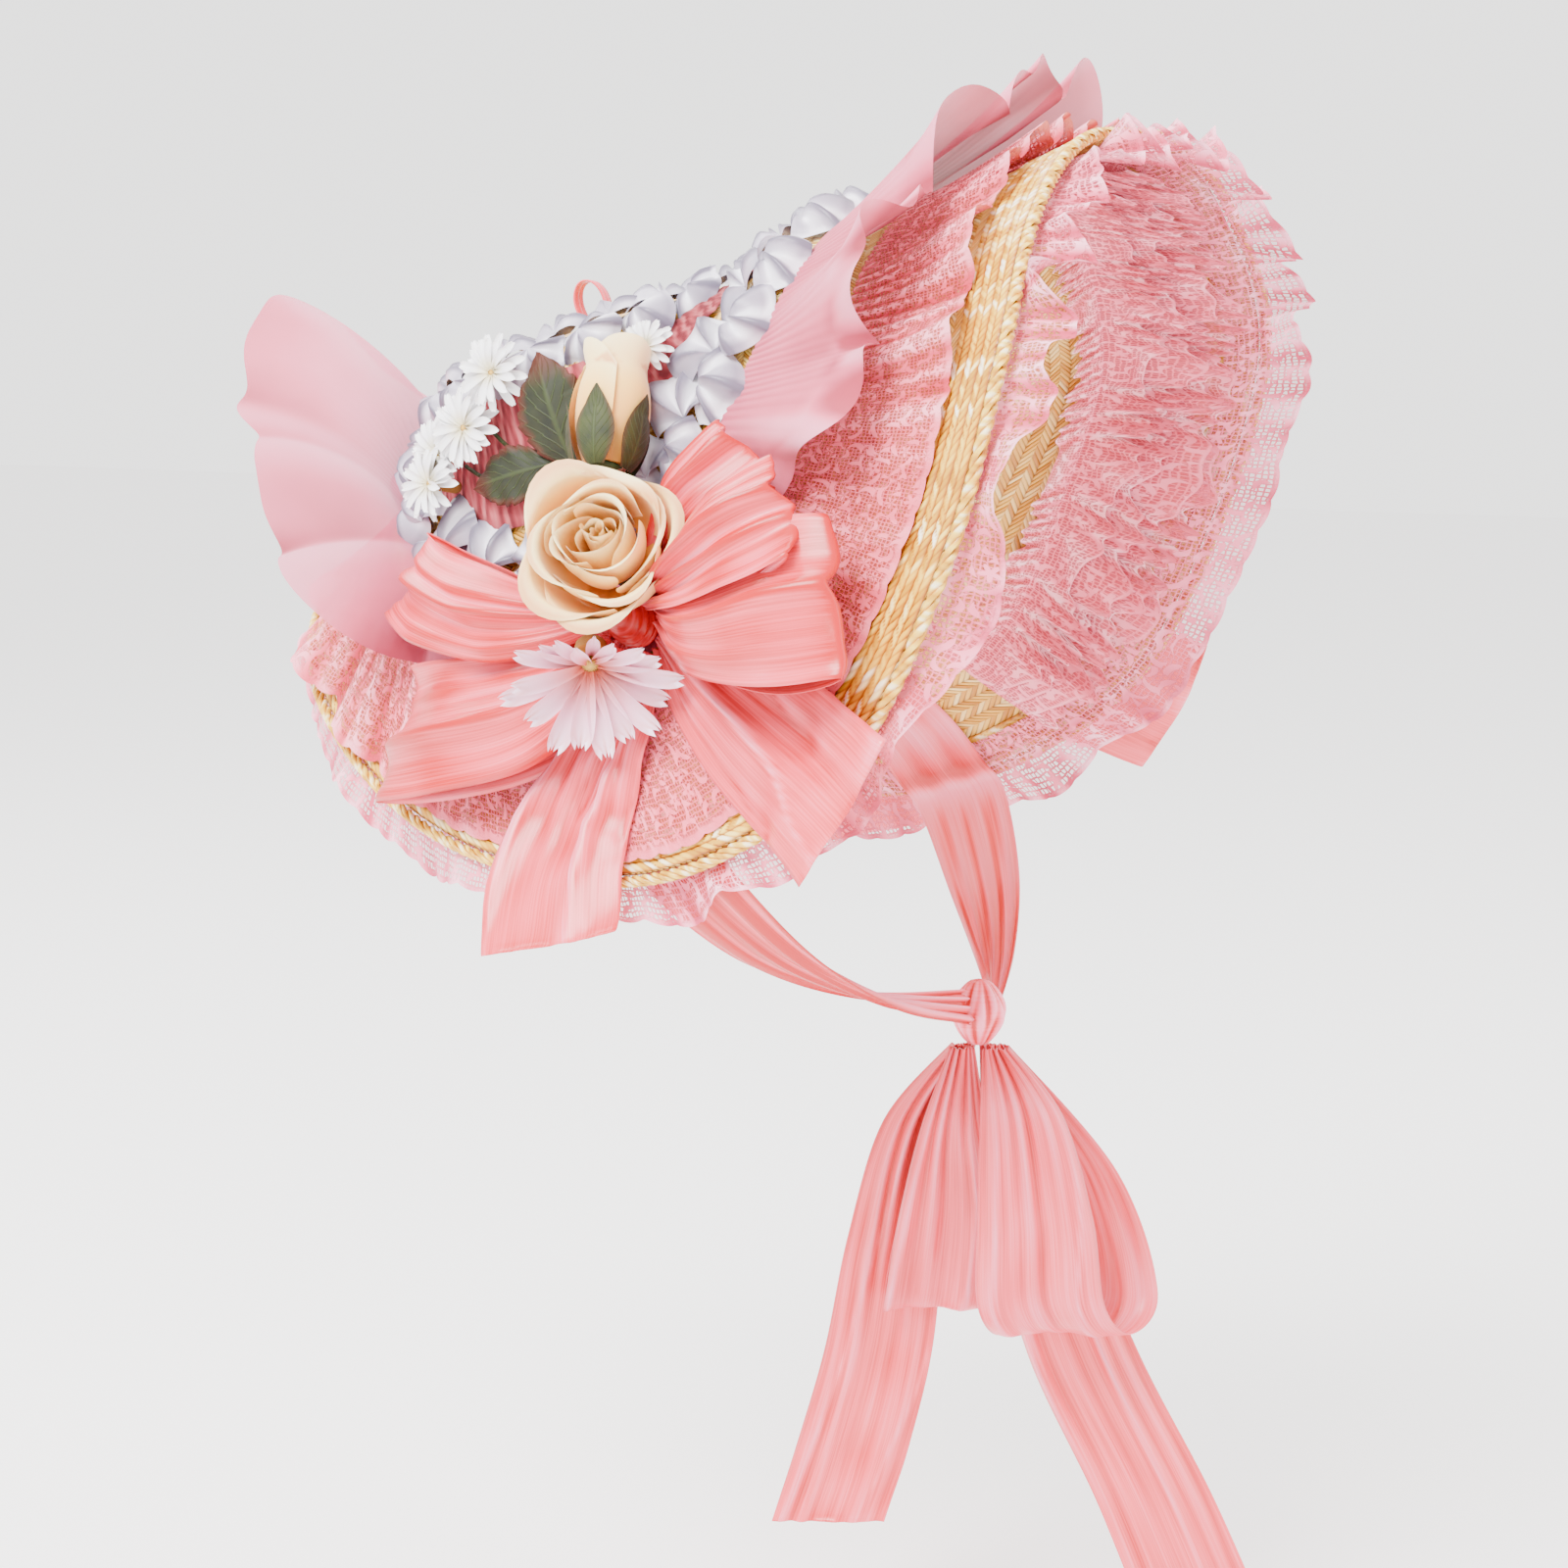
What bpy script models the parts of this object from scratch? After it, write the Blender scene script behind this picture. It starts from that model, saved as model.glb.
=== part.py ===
"""Straw bonnet with a wide flared brim, ruffles, two side bows, flowers and a ribbon tie.

Metres, +Z up. The face looks along -Y and the wearer's right side is -X. The origin is
where the top of the head sits in the bonnet. Angles run round the hat in degrees: 0 is the
front, 90 the wearer's right, 180 the back and 270 the left. Across the brim, 0 is the
crown's foot and 1 is the brim's edge.
"""

import math

import bmesh
import bpy
from mathutils import Vector

# Clearance between neighbouring pieces
GAP = 0.0003

# Crown: foot ring, top ring and wall
CROWN_HALF_WIDTH = 0.090
CROWN_BACK_REACH = 0.192
CROWN_FOOT_RISE = 0.068
TOP_HALF_WIDTH = 0.073
TOP_HALF_DEPTH = 0.083
TOP_CENTRE_BACK = 0.106
TOP_CENTRE_RISE = 0.018
TOP_TILT_DEG = 20.0
TOP_DOME = 0.010
STRAW_THICKNESS = 0.0018

# Brim
BRIM_HALF_WIDTH = 0.152
BRIM_BACK_REACH = 0.250
BRIM_DROP = 0.183
BRIM_DISH = 0.07
PLAIT_RADIUS = 0.0028

# Cloth walls
LACE_THICKNESS = 0.0010
CHIFFON_THICKNESS = 0.0010
SATIN_THICKNESS = 0.0012
RIBBON_THICKNESS = 0.0012

# Lines of the hat, as shares of the sizes above: sideways, back and up
# Columns: angle, out, back, up
FOOT_LINE = (
    (0, 0.00, 0.045, 1.00),
    (20, 0.36, 0.060, 0.91),
    (40, 0.65, 0.100, 0.58),
    (60, 0.86, 0.170, 0.00),
    (75, 0.96, 0.250, -0.44),
    (90, 1.00, 0.355, -0.76),
    (105, 1.00, 0.480, -0.97),
    (120, 0.94, 0.615, -1.06),
    (135, 0.80, 0.760, -0.98),
    (150, 0.59, 0.885, -0.78),
    (165, 0.32, 0.970, -0.56),
    (180, 0.00, 1.000, -0.44),
)
# Columns: angle, out, back, up
EDGE_LINE = (
    (0, 0.00, -0.440, 0.560),
    (20, 0.38, -0.450, 0.535),
    (40, 0.72, -0.465, 0.385),
    (60, 0.98, -0.475, 0.085),
    (75, 1.00, -0.400, -0.290),
    (90, 1.00, -0.250, -0.690),
    (105, 0.97, -0.020, -0.920),
    (120, 0.91, 0.200, -1.000),
    (135, 0.80, 0.470, -0.970),
    (150, 0.62, 0.700, -0.860),
    (165, 0.36, 0.900, -0.680),
    (180, 0.00, 1.000, -0.520),
)

# Straw crown, brim and edge plait
BRIM_COLUMNS = 50
BRIM_ROWS = 4
CROWN_COLUMNS = 36
CROWN_ROWS = 4
CROWN_WALL_SHARE = 0.5
PLAIT_COLUMNS = 56
PLAIT_SIDES = 4

# Satin ruches and pleated band on the crown
RUCHE_REACH = 0.018
RUCHE_BRIM_REACH = 0.0126
RUCHE_ZIGZAG = 0.005
RUCHE_BULGE = 0.010
RUCHE_COUNT = 26
TOP_RUCHE_REACH = 0.011
TOP_RUCHE_BULGE = 0.007
TOP_RUCHE_ZIGZAG = 0.0035
BAND_PLEATS = 32
BAND_LIFT = 0.0031
BAND_PLEAT_DEPTH = 0.0008
BAND_MARGIN = 0.0012
RUCHE_FOOT_LIFT = 0.0028
RUCHE_WALL_SHARE = 0.50
TOP_RUCHE_WALL_SHARE = 0.28

# Ruffles. Each lies flat where a bow sits on it
# Columns: angle, fullness
PRESS_LINE = ((0, 1.0), (46, 1.0), (60, 0.0), (140, 0.0), (160, 1.0), (180, 1.0))
LACE_FOLDS = 20
LACE_START = 0.385
LACE_END = 0.87
LACE_FOLD_HEIGHT = 0.0075
LACE_ROOT_FOLD = 0.15
LACE_LIFT = 0.0026
UNDER_ROOT = 0.016
UNDER_REACH = 0.018
UNDER_ROOT_LIFT = -0.0031
UNDER_LIFT = -0.0050
UNDER_FOLD_HEIGHT = 0.0070
LINING_HALF_DEG = 80
LINING_COLUMNS = 42
LINING_START = 0.34
LINING_END = 0.86
LINING_LIFT = -0.0050
LINING_EDGE_LIFT = -0.0025
LINING_SHIRR = 0.0016
LINING_FRILL = 0.0040
CHIFFON_FOLDS = 22
CHIFFON_LENGTH = 0.086
CHIFFON_START = 0.0195
# Columns: angle, length, stand_deg, fold
CHIFFON_LINE = (
    (0, 1.00, 22, 1.2),
    (35, 1.00, 16, 1.0),
    (54, 0.94, 7, 0.6),
    (62, 0.68, 5, 0.3),
    (68, 0.48, 1.5, 0.05),
    (104, 0.46, 1.5, 0.05),
    (112, 0.38, 4, 0.1),
    (122, 0.38, 5, 0.1),
    (144, 0.44, 7, 0.1),
    (152, 0.74, 84, 0.7),
    (161, 0.92, 118, 0.8),
    (180, 1.04, 132, 1.0),
)
CHIFFON_FOLD_HEIGHT = 0.011
CHIFFON_LIFT = 0.0024

# Bows. Height is a share of the loop height and half width a share of the ribbon's width
RIBBON_WIDTH = 0.062
LOOP_HEIGHT = 0.030
BOW_ANGLE = 97
BOW_ACROSS = 0.30
KNOT_RADIUS = 0.0100
KNOT_HEIGHT = 0.020
KNOT_LIFT = 0.0048
KNOT_SIDES = 8
KNOT_STRETCH = 1.25
# Columns: along, radius
BOW_KNOT_ROWS = ((0.0, 0.95), (0.3, 1.0), (0.7, 1.0), (1.0, 0.57))
RIBBON_LIFT = 0.0062
STRIP_SEGMENTS = 12
# Columns: angle, across, height, half_width
BOW_RIBBONS = {
    "loop_back": (
        (101.2, 0.25, 0.10, 0.10),
        (115, 0.19, 0.30, 0.28),
        (126, 0.14, 0.50, 0.36),
        (136, 0.11, 0.72, 0.38),
        (127, 0.14, 0.96, 0.38),
        (114, 0.20, 0.90, 0.30),
        (101.5, 0.25, 0.45, 0.11),
    ),
    "loop_side": (
        (100.6, 0.345, 0.10, 0.10),
        (117, 0.46, 0.16, 0.34),
        (131, 0.60, 0.26, 0.44),
        (143, 0.77, 0.44, 0.48),
        (133, 0.64, 0.80, 0.48),
        (119, 0.48, 0.66, 0.40),
        (100.9, 0.345, 0.42, 0.11),
    ),
    "loop_front": (
        (92.0, 0.235, 0.08, 0.09),
        (85, 0.245, 0.18, 0.22),
        (77, 0.275, 0.30, 0.34),
        (69, 0.33, 0.46, 0.38),
        (77, 0.275, 0.68, 0.34),
        (84.6, 0.245, 0.55, 0.23),
        (92.0, 0.235, 0.36, 0.09),
    ),
    "loop_puff": (
        (92.3, 0.365, 0.085, 0.10),
        (89, 0.52, 0.34, 0.30),
        (84, 0.70, 0.52, 0.47),
        (79, 0.88, 0.74, 0.54),
        (82, 0.74, 1.10, 0.54),
        (88, 0.55, 1.06, 0.38),
        (92.3, 0.365, 0.46, 0.10),
    ),
    "tail_front": (
        (96.0, 0.375, 0.02, 0.10),
        (95.6, 0.52, 0.02, 0.30),
        (94.6, 0.72, 0.02, 0.44),
        (93.6, 0.92, 0.06, 0.50),
        (93.0, 1.06, 0.12, 0.52),
        (92.6, 1.22, 0.14, 0.54),
    ),
    "tail_back": (
        (99.6, 0.375, 0.02, 0.10),
        (106, 0.48, 0.02, 0.26),
        (114, 0.64, 0.02, 0.36),
        (120, 0.84, 0.06, 0.44),
        (123, 1.05, 0.14, 0.50),
        (124.5, 1.30, 0.14, 0.52),
    ),
}

# Chin tie. Straps run inside the brim from the crown's foot, round the jaw to the knot
CHIN_KNOT = Vector((0, -0.053, -0.253))
CHIN_KNOT_RADIUS = 0.0105
CHIN_KNOT_HEIGHT = 0.028
# Columns: along, radius
CHIN_KNOT_ROWS = ((0.0, 0.57), (0.3, 1.0), (0.7, 1.0), (1.0, 0.57))
STRAP_ANGLE = 111
STRAP_HALF_WIDTH = 0.020
# Columns: across, lift, width_share
STRAP_INSIDE = (
    (0.12, -0.0021, 0.8),
    (0.36, -0.0021, 1.0),
    (0.60, -0.0021, 1.0),
    (0.80, -0.0021, 1.0),
    (0.93, -0.0095, 1.0),
    (1.03, -0.0170, 1.0),
)
STRAP_SEGMENTS = 16
STRAP_SAG_OUT = 0.016
STRAP_SAG_DOWN = 0.010
STRAP_END_RISE = 0.004
STRAP_END_HALF_WIDTH = 0.0073
STRAP_FREE_SHARES = (0.35, 0.7, 1.0)
STRAP_NARROWING = 1.6
CHIN_TURN_DEG = 65
# Columns: right, up, out, half_width
CHIN_DROP = 0.140
CHIN_RIBBONS = {
    "chin_loop_front": (
        (0.05, -0.104, 0.02, 0.09),
        (0.14, -0.30, 0.10, 0.26),
        (0.22, -0.60, 0.13, 0.36),
        (0.27, -0.86, 0.10, 0.38),
        (0.27, -0.95, 0.02, 0.38),
        (0.24, -0.82, -0.06, 0.36),
        (0.17, -0.48, -0.07, 0.30),
        (0.05, -0.104, -0.02, 0.09),
    ),
    "chin_loop_back": (
        (-0.048, -0.104, 0.02, 0.08),
        (-0.09, -0.34, 0.09, 0.18),
        (-0.11, -0.60, 0.11, 0.28),
        (-0.13, -0.82, 0.09, 0.32),
        (-0.13, -0.90, 0.02, 0.32),
        (-0.12, -0.78, -0.05, 0.30),
        (-0.09, -0.45, -0.06, 0.22),
        (-0.048, -0.104, -0.02, 0.08),
    ),
    "chin_tail_back": (
        (-0.04, -0.104, -0.042, 0.08),
        (-0.17, -0.36, -0.12, 0.24),
        (-0.24, -0.72, -0.14, 0.32),
        (-0.29, -1.06, -0.13, 0.36),
        (-0.37, -1.36, -0.10, 0.38),
        (-0.44, -1.57, -0.08, 0.38),
    ),
    "chin_tail_front": (
        (0.04, -0.104, -0.042, 0.08),
        (0.12, -0.40, -0.12, 0.22),
        (0.22, -0.76, -0.14, 0.32),
        (0.34, -1.10, -0.12, 0.38),
        (0.54, -1.50, -0.09, 0.40),
        (0.70, -1.88, -0.07, 0.42),
    ),
}

# Flowers, leaves and stems, set on the crown's wall and on the right bow
ROSE_RADIUS = 0.034
ROSE_HEIGHT = 0.036
ROSE_STEM = 0.0288
ROSE_STEM_RADIUS = 0.004
ROSE_SIDES = 16
ROSE_ANGLE = 94
ROSE_ACROSS = 0.165
ROSE_SEAT = 0.0050
ROSE_FACE = Vector((-0.92, -0.16, 0.38)).normalized()
# Columns: height, radius, petal_depth, petals
ROSE_ROWS = (
    (0.00, 0.30, 0.00, 5),
    (0.12, 0.72, 0.03, 5),
    (0.42, 1.00, 0.08, 5),
    (0.56, 0.97, 0.08, 5),
    (0.42, 0.78, 0.05, 5),
    (0.74, 0.76, 0.07, 4),
    (0.60, 0.58, 0.05, 4),
    (0.88, 0.54, 0.07, 3),
    (0.74, 0.36, 0.04, 3),
    (1.00, 0.29, 0.06, 3),
    (0.86, 0.14, 0.02, 3),
)
BUD_LENGTH = 0.052
BUD_RADIUS = 0.0145
# Columns: along, radius
BUD_ROWS = ((0.00, 0.30), (0.12, 0.72), (0.35, 1.00), (0.62, 0.92), (0.85, 0.74), (1.00, 0.62))
BUD_FOOT = (79, 0.06, 0.0320)
BUD_TIP = (68.5, 0.60, 0.0225)
CALYX_SHARE = 0.58
CALYX_FOOT = 0.06
CALYX_CLEARANCE = 0.0018
SEPALS = 5
BUD_SIDES = 12
LEAF_THICKNESS = 0.0009
LEAF_SEGMENTS = 7
# Columns: ground, base, tip, half_width, arch
LEAVES = {
    "leaf_large": ("crown", (92, 0.33, 0.0062), (89, 0.93, 0.0140), 0.0125, 0.004),
    "leaf_back": ("crown", (97, 0.42, 0.0082), (121, 0.42, 0.0095), 0.0085, 0.002),
    "leaf_front": ("brim", (88, 0.075, 0.0186), (78, 0.10, 0.0334), 0.0080, 0.002),
}
STEM_RADIUS = 0.0009
STEMS = {
    "stem_upper": ((113, 0.70, 0.0056), (108, 0.58, 0.0056), (103, 0.48, 0.0056), (99, 0.40, 0.0056)),
    "stem_lower": ((126, 0.55, 0.0056), (118, 0.47, 0.0056), (110, 0.41, 0.0056), (102, 0.37, 0.0056)),
}
# Columns: angle, up, radius, seat, height
SMALL_DAISIES = {
    "daisy_white_top": (63, 0.60, 0.0100, 0.0042, 0.0080),
    "daisy_white_middle": (116.5, 0.72, 0.0100, 0.0048, 0.0095),
    "daisy_white_back": (130, 0.60, 0.0095, 0.0051, 0.0095),
    "daisy_white_low": (131, 0.42, 0.0095, 0.0050, 0.0130),
}
DAISY_PETALS = 7
DAISY_CURL = 0.0015
DAISY_CENTRE_RISE = 0.0018
PETAL_THICKNESS = 0.0010
# Radius, height, petals, mesh sides of a petal, curl of the tips
PINK_DAISY = (0.028, 0.011, 10, 4, 0.003)
PINK_DAISY_ANGLE = 105
PINK_DAISY_ACROSS = 0.46
PINK_DAISY_FACE = Vector((0, -0.35, -0.1))
PINK_DAISY_SEAT = 0.0245
CROWN_LOOP_ANGLE = 80
CROWN_LOOP_INWARDS = 0.50
CROWN_LOOP_RADIUS = 0.0060
CROWN_LOOP_HEIGHT = 0.0170
CROWN_LOOP_WIDTH = 0.0110


def table_at(rows, angle):
    """Smooth values of a table at an angle. The hat's two sides mirror each other."""
    turned = angle % 360
    side = 1 if turned <= 180 else -1
    folded = turned if side == 1 else 360 - turned
    angles = [row[0] for row in rows]
    index = max(i for i in range(len(rows) - 1) if angles[i] <= folded + 1e-9)

    def knot(i):
        """Row i, with the rows past both ends mirrored."""
        if i < 0:
            row = rows[-i]
            return (-row[0], -row[1], *row[2:])
        if i >= len(rows):
            row = rows[2 * len(rows) - 2 - i]
            return (360 - row[0], -row[1], *row[2:])
        return rows[i]

    before, start, end, after = (knot(index + step) for step in (-1, 0, 1, 2))
    span = end[0] - start[0]
    share = (folded - start[0]) / span
    values = []
    for column in range(1, len(start)):
        slope_in = (end[column] - before[column]) / (end[0] - before[0]) * span
        slope_out = (after[column] - start[column]) / (after[0] - start[0]) * span
        values.append(
            (2 * share**3 - 3 * share**2 + 1) * start[column]
            + (share**3 - 2 * share**2 + share) * slope_in
            + (3 * share**2 - 2 * share**3) * end[column]
            + (share**3 - share**2) * slope_out
        )
    return side, values


def foot_point(angle):
    """Where the brim meets the crown."""
    side, (out, back, up) = table_at(FOOT_LINE, angle)
    return Vector(
        (-side * out * CROWN_HALF_WIDTH, back * CROWN_BACK_REACH, up * CROWN_FOOT_RISE)
    )


def edge_point(angle):
    """The brim's outer edge."""
    side, (out, back, up) = table_at(EDGE_LINE, angle)
    return Vector((-side * out * BRIM_HALF_WIDTH, back * BRIM_BACK_REACH, up * BRIM_DROP))


def top_point(angle):
    """The edge of the crown's flat top, an oval in a plane that is tilted back."""
    turn = math.radians(angle)
    tilt = math.radians(TOP_TILT_DEG)
    along = -TOP_HALF_DEPTH * math.cos(turn)
    return Vector(
        (
            -TOP_HALF_WIDTH * math.sin(turn),
            TOP_CENTRE_BACK + along * math.cos(tilt),
            TOP_CENTRE_RISE - along * math.sin(tilt),
        )
    )


def brim_point(angle, across):
    """A point on the brim's middle surface, which is dished between foot and edge."""
    foot, edge = foot_point(angle), edge_point(angle)
    ahead = foot_point(angle + 1) + edge_point(angle + 1)
    behind = foot_point(angle - 1) + edge_point(angle - 1)
    outward = (ahead - behind).cross(edge - foot).normalized()
    middle = (foot + edge) / 2 - outward * BRIM_DISH * (edge - foot).length
    return (
        foot * (1 - across) ** 2 + middle * 2 * across * (1 - across) + edge * across**2
    )


def brim_frame(angle, across):
    """Place on the brim, unit direction towards its edge and unit normal on its outer side."""
    place = brim_point(angle, across)
    step = 0.02
    outwards = brim_point(angle, across + step) - brim_point(angle, across - step)
    round_hat = brim_point(angle + 1, across) - brim_point(angle - 1, across)
    return place, outwards.normalized(), round_hat.cross(outwards).normalized()


def on_brim(angle, across, lift):
    """A point that stands off the brim's middle surface."""
    place, _, normal = brim_frame(angle, across)
    return place + normal * lift


def crown_frame(angle):
    """The crown wall's foot and top at an angle, its upward direction and its outward normal."""
    place, outwards, normal = brim_frame(angle, 0)
    foot = place - outwards * (STRAW_THICKNESS / 2 + GAP)
    top = top_point(angle)
    round_hat = foot_point(angle + 1) - foot_point(angle - 1)
    upwards = (top - foot).normalized()
    return foot, top, upwards, upwards.cross(round_hat).normalized()


def on_crown(angle, share, lift):
    """A point off the crown wall's middle surface, with share 0 at its foot and 1 at its top."""
    foot, top, _, outward = crown_frame(angle)
    return foot.lerp(top, share) + outward * lift


def on_top(angle, inwards, lift):
    """A point off the domed top. Inwards is 0 at its edge and 1 at its centre."""
    tilt = math.radians(TOP_TILT_DEG)
    centre = Vector((0, TOP_CENTRE_BACK, TOP_CENTRE_RISE))
    normal = Vector((0, math.sin(tilt), math.cos(tilt)))
    dome = TOP_DOME * (1 - (1 - inwards) ** 2)
    return top_point(angle).lerp(centre, inwards) + normal * (dome + lift)


def clear_scene():
    for old in list(bpy.data.objects):
        bpy.data.objects.remove(old)


def material(name, colour, roughness):
    """A plain material. The colour is given as sRGB shares above 0.04."""
    made = bpy.data.materials.new(name)
    made.use_nodes = True
    shader = made.node_tree.nodes["Principled BSDF"]
    linear = [((share + 0.055) / 1.055) ** 2.4 for share in colour]
    shader.inputs["Base Color"].default_value = (*linear, 1)
    shader.inputs["Roughness"].default_value = roughness
    shader.inputs["Metallic"].default_value = 0.0
    made.diffuse_color = (*linear, 1)
    return made


clear_scene()

STRAW = material("straw", (0.90, 0.76, 0.48), 0.45)
LACE = material("coral_lace", (0.93, 0.63, 0.63), 0.80)
CHIFFON = material("pink_chiffon", (0.96, 0.78, 0.80), 0.70)
PLEATS = material("dusty_pink_pleats", (0.78, 0.50, 0.50), 0.70)
SATIN = material("white_satin", (0.92, 0.92, 0.94), 0.30)
RIBBON = material("coral_ribbon", (0.95, 0.60, 0.58), 0.50)
CREAM = material("cream_petals", (0.96, 0.90, 0.76), 0.60)
GREEN = material("green_leaf", (0.38, 0.43, 0.24), 0.60)
LILAC = material("lilac_petals", (0.88, 0.80, 0.87), 0.60)
WHITE = material("white_petals", (0.95, 0.95, 0.97), 0.60)


def object_from(name, bm, finish):
    """Makes the object of a finished mesh and shades its round faces smooth."""
    mesh = bpy.data.meshes.new(name)
    bm.to_mesh(mesh)
    bm.free()
    mesh.materials.append(finish)
    mesh.shade_smooth()
    mesh.set_sharp_from_angle(angle=math.radians(50))
    made = bpy.data.objects.new(name, mesh)
    bpy.context.scene.collection.objects.link(made)
    return made


def wall(name, place, columns, rows, thickness, finish):
    """A thin wall over place(u, v), with u and v from 0 to 1. Edges that meet are joined."""
    bm = bmesh.new()
    bmesh.ops.create_grid(bm, x_segments=columns, y_segments=rows, size=1)
    for vertex in bm.verts:
        vertex.co = place((vertex.co.x + 1) / 2, (vertex.co.y + 1) / 2)
    bmesh.ops.remove_doubles(bm, verts=bm.verts, dist=1e-6)
    made = object_from(name, bm, finish)
    solidify = made.modifiers.new("thickness", "SOLIDIFY")
    solidify.thickness = thickness
    solidify.offset = 0
    return made


def turned(name, rows, sides, place, finish):
    """A closed body over place(angle, row), one ring of points for each row, with both ends filled."""
    bm = bmesh.new()
    rings = []
    for row in rows:
        ring = [bm.verts.new(place(360 * side / sides, row)) for side in range(sides)]
        rings.append([bm.edges.new((ring[i - 1], ring[i])) for i in range(sides)])
    for below, above in zip(rings, rings[1:]):
        bmesh.ops.bridge_loops(bm, edges=below + above)
    for ring in (rings[0], rings[-1]):
        bmesh.ops.contextual_create(bm, geom=ring)
    bmesh.ops.recalc_face_normals(bm, faces=bm.faces)
    return object_from(name, bm, finish)


def smooth_row(rows, share):
    """Values of a table at a share of its length, on a smooth curve through its rows."""
    at = min(max(share, 0), 1) * (len(rows) - 1)
    index = min(int(at), len(rows) - 2)
    part = at - index
    before = rows[max(index - 1, 0)]
    start, end = rows[index], rows[index + 1]
    after = rows[min(index + 2, len(rows) - 1)]
    values = []
    for a, b, c, d in zip(before, start, end, after):
        slope = (c - a) / 2
        bend = (2 * a - 5 * b + 4 * c - d) / 2
        twist = (3 * b - a - 3 * c + d) / 2
        values.append(b + part * (slope + part * (bend + part * twist)))
    return values


def even_table_at(rows, angle):
    """Values of a table at an angle, where both sides of the hat share each row."""
    turned_angle = angle % 360
    folded = min(turned_angle, 360 - turned_angle)
    index = max(i for i in range(len(rows) - 1) if rows[i][0] <= folded + 1e-9)
    start, end = rows[index], rows[index + 1]
    share = (folded - start[0]) / (end[0] - start[0])
    eased = share * share * (3 - 2 * share)
    return [a + (b - a) * eased for a, b in zip(start[1:], end[1:])]


def brim_length(angle):
    """Straight length of the brim from foot to edge."""
    return (edge_point(angle) - foot_point(angle)).length


def straw_brim():
    return wall(
        "straw_brim",
        lambda u, v: brim_point(360 * u, v),
        BRIM_COLUMNS,
        BRIM_ROWS,
        STRAW_THICKNESS,
        STRAW,
    )


def straw_crown():
    """The wall and the domed top in one, with two rows for the wall and two for the top."""

    def place(u, v):
        if v <= CROWN_WALL_SHARE:
            return on_crown(360 * u, v / CROWN_WALL_SHARE, 0)
        return on_top(360 * u, (v - CROWN_WALL_SHARE) / (1 - CROWN_WALL_SHARE), 0)

    return wall("straw_crown", place, CROWN_COLUMNS, CROWN_ROWS, STRAW_THICKNESS, STRAW)


def brim_edge_plait():
    """The straw plait that binds the edge, a tube in a ring."""
    bm = bmesh.new()
    rings = []
    standoff = PLAIT_RADIUS + GAP
    for column in range(PLAIT_COLUMNS):
        edge, outwards, normal = brim_frame(360 * column / PLAIT_COLUMNS, 1)
        ring = []
        for side in range(PLAIT_SIDES):
            turn = 2 * math.pi * (side + 0.5) / PLAIT_SIDES
            reach = outwards * math.cos(turn) + normal * math.sin(turn)
            ring.append(bm.verts.new(edge + outwards * standoff + reach * PLAIT_RADIUS))
        rings.append([bm.edges.new((ring[i - 1], ring[i])) for i in range(PLAIT_SIDES)])
    for index, ring in enumerate(rings):
        bmesh.ops.bridge_loops(bm, edges=rings[index - 1] + ring)
    bmesh.ops.recalc_face_normals(bm, faces=bm.faces)
    return object_from("brim_edge_plait", bm, STRAW)


def crown_ruche_base():
    """A ruched strip over the seam of crown and brim: alternate gathers swing up and down."""

    def place(u, v):
        angle = 360 * u
        swing = RUCHE_ZIGZAG * (1 if round(u * 2 * RUCHE_COUNT) % 2 else -1)
        foot, top, upwards, outward = crown_frame(angle)
        seam, _, normal = brim_frame(angle, 0)
        if v == 1:
            reach = min(RUCHE_REACH + swing, RUCHE_WALL_SHARE * (top - foot).length)
            return foot + upwards * reach + outward * RUCHE_FOOT_LIFT
        if v == 0:
            reach = RUCHE_BRIM_REACH - swing
            return on_brim(angle, reach / brim_length(angle), RUCHE_FOOT_LIFT)
        lean = (normal + outward).normalized()
        return seam + lean * (RUCHE_BULGE + swing / 2) + upwards * (swing / 2)

    return wall("crown_ruche_base", place, 2 * RUCHE_COUNT, 2, SATIN_THICKNESS, SATIN)


def crown_ruche_top():
    """The same strip over the crown's top edge."""

    def place(u, v):
        angle = 360 * u
        swing = TOP_RUCHE_ZIGZAG * (1 if round(u * 2 * RUCHE_COUNT) % 2 else -1)
        foot, top, upwards, outward = crown_frame(angle)
        if v == 1:
            radius = (top - on_top(angle, 1, 0)).length
            return on_top(angle, (TOP_RUCHE_REACH + swing) / radius, RUCHE_FOOT_LIFT)
        if v == 0:
            reach = min(TOP_RUCHE_REACH - swing, TOP_RUCHE_WALL_SHARE * (top - foot).length)
            return top - upwards * reach + outward * RUCHE_FOOT_LIFT
        flat_normal = on_top(angle, 0, 1) - on_top(angle, 0, 0)
        lean = (flat_normal + outward).normalized()
        return top + lean * (TOP_RUCHE_BULGE + swing / 2)

    return wall("crown_ruche_top", place, 2 * RUCHE_COUNT, 2, SATIN_THICKNESS, SATIN)


def crown_band():
    """The pleated band on the crown's wall, between the two ruches."""

    def place(u, v):
        foot, top, upwards, outward = crown_frame(360 * u)
        height = (top - foot).length
        low = min(RUCHE_REACH + RUCHE_ZIGZAG, RUCHE_WALL_SHARE * height) + BAND_MARGIN
        covered = min(TOP_RUCHE_REACH + TOP_RUCHE_ZIGZAG + BAND_MARGIN, TOP_RUCHE_WALL_SHARE * height)
        high = height - covered - BAND_MARGIN
        pleat = BAND_PLEAT_DEPTH * (1 if round(u * 2 * BAND_PLEATS) % 2 else -1)
        return foot + upwards * (low + (high - low) * v) + outward * (BAND_LIFT + pleat)

    return wall("crown_band", place, 2 * BAND_PLEATS, 1, SATIN_THICKNESS, PLEATS)


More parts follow.
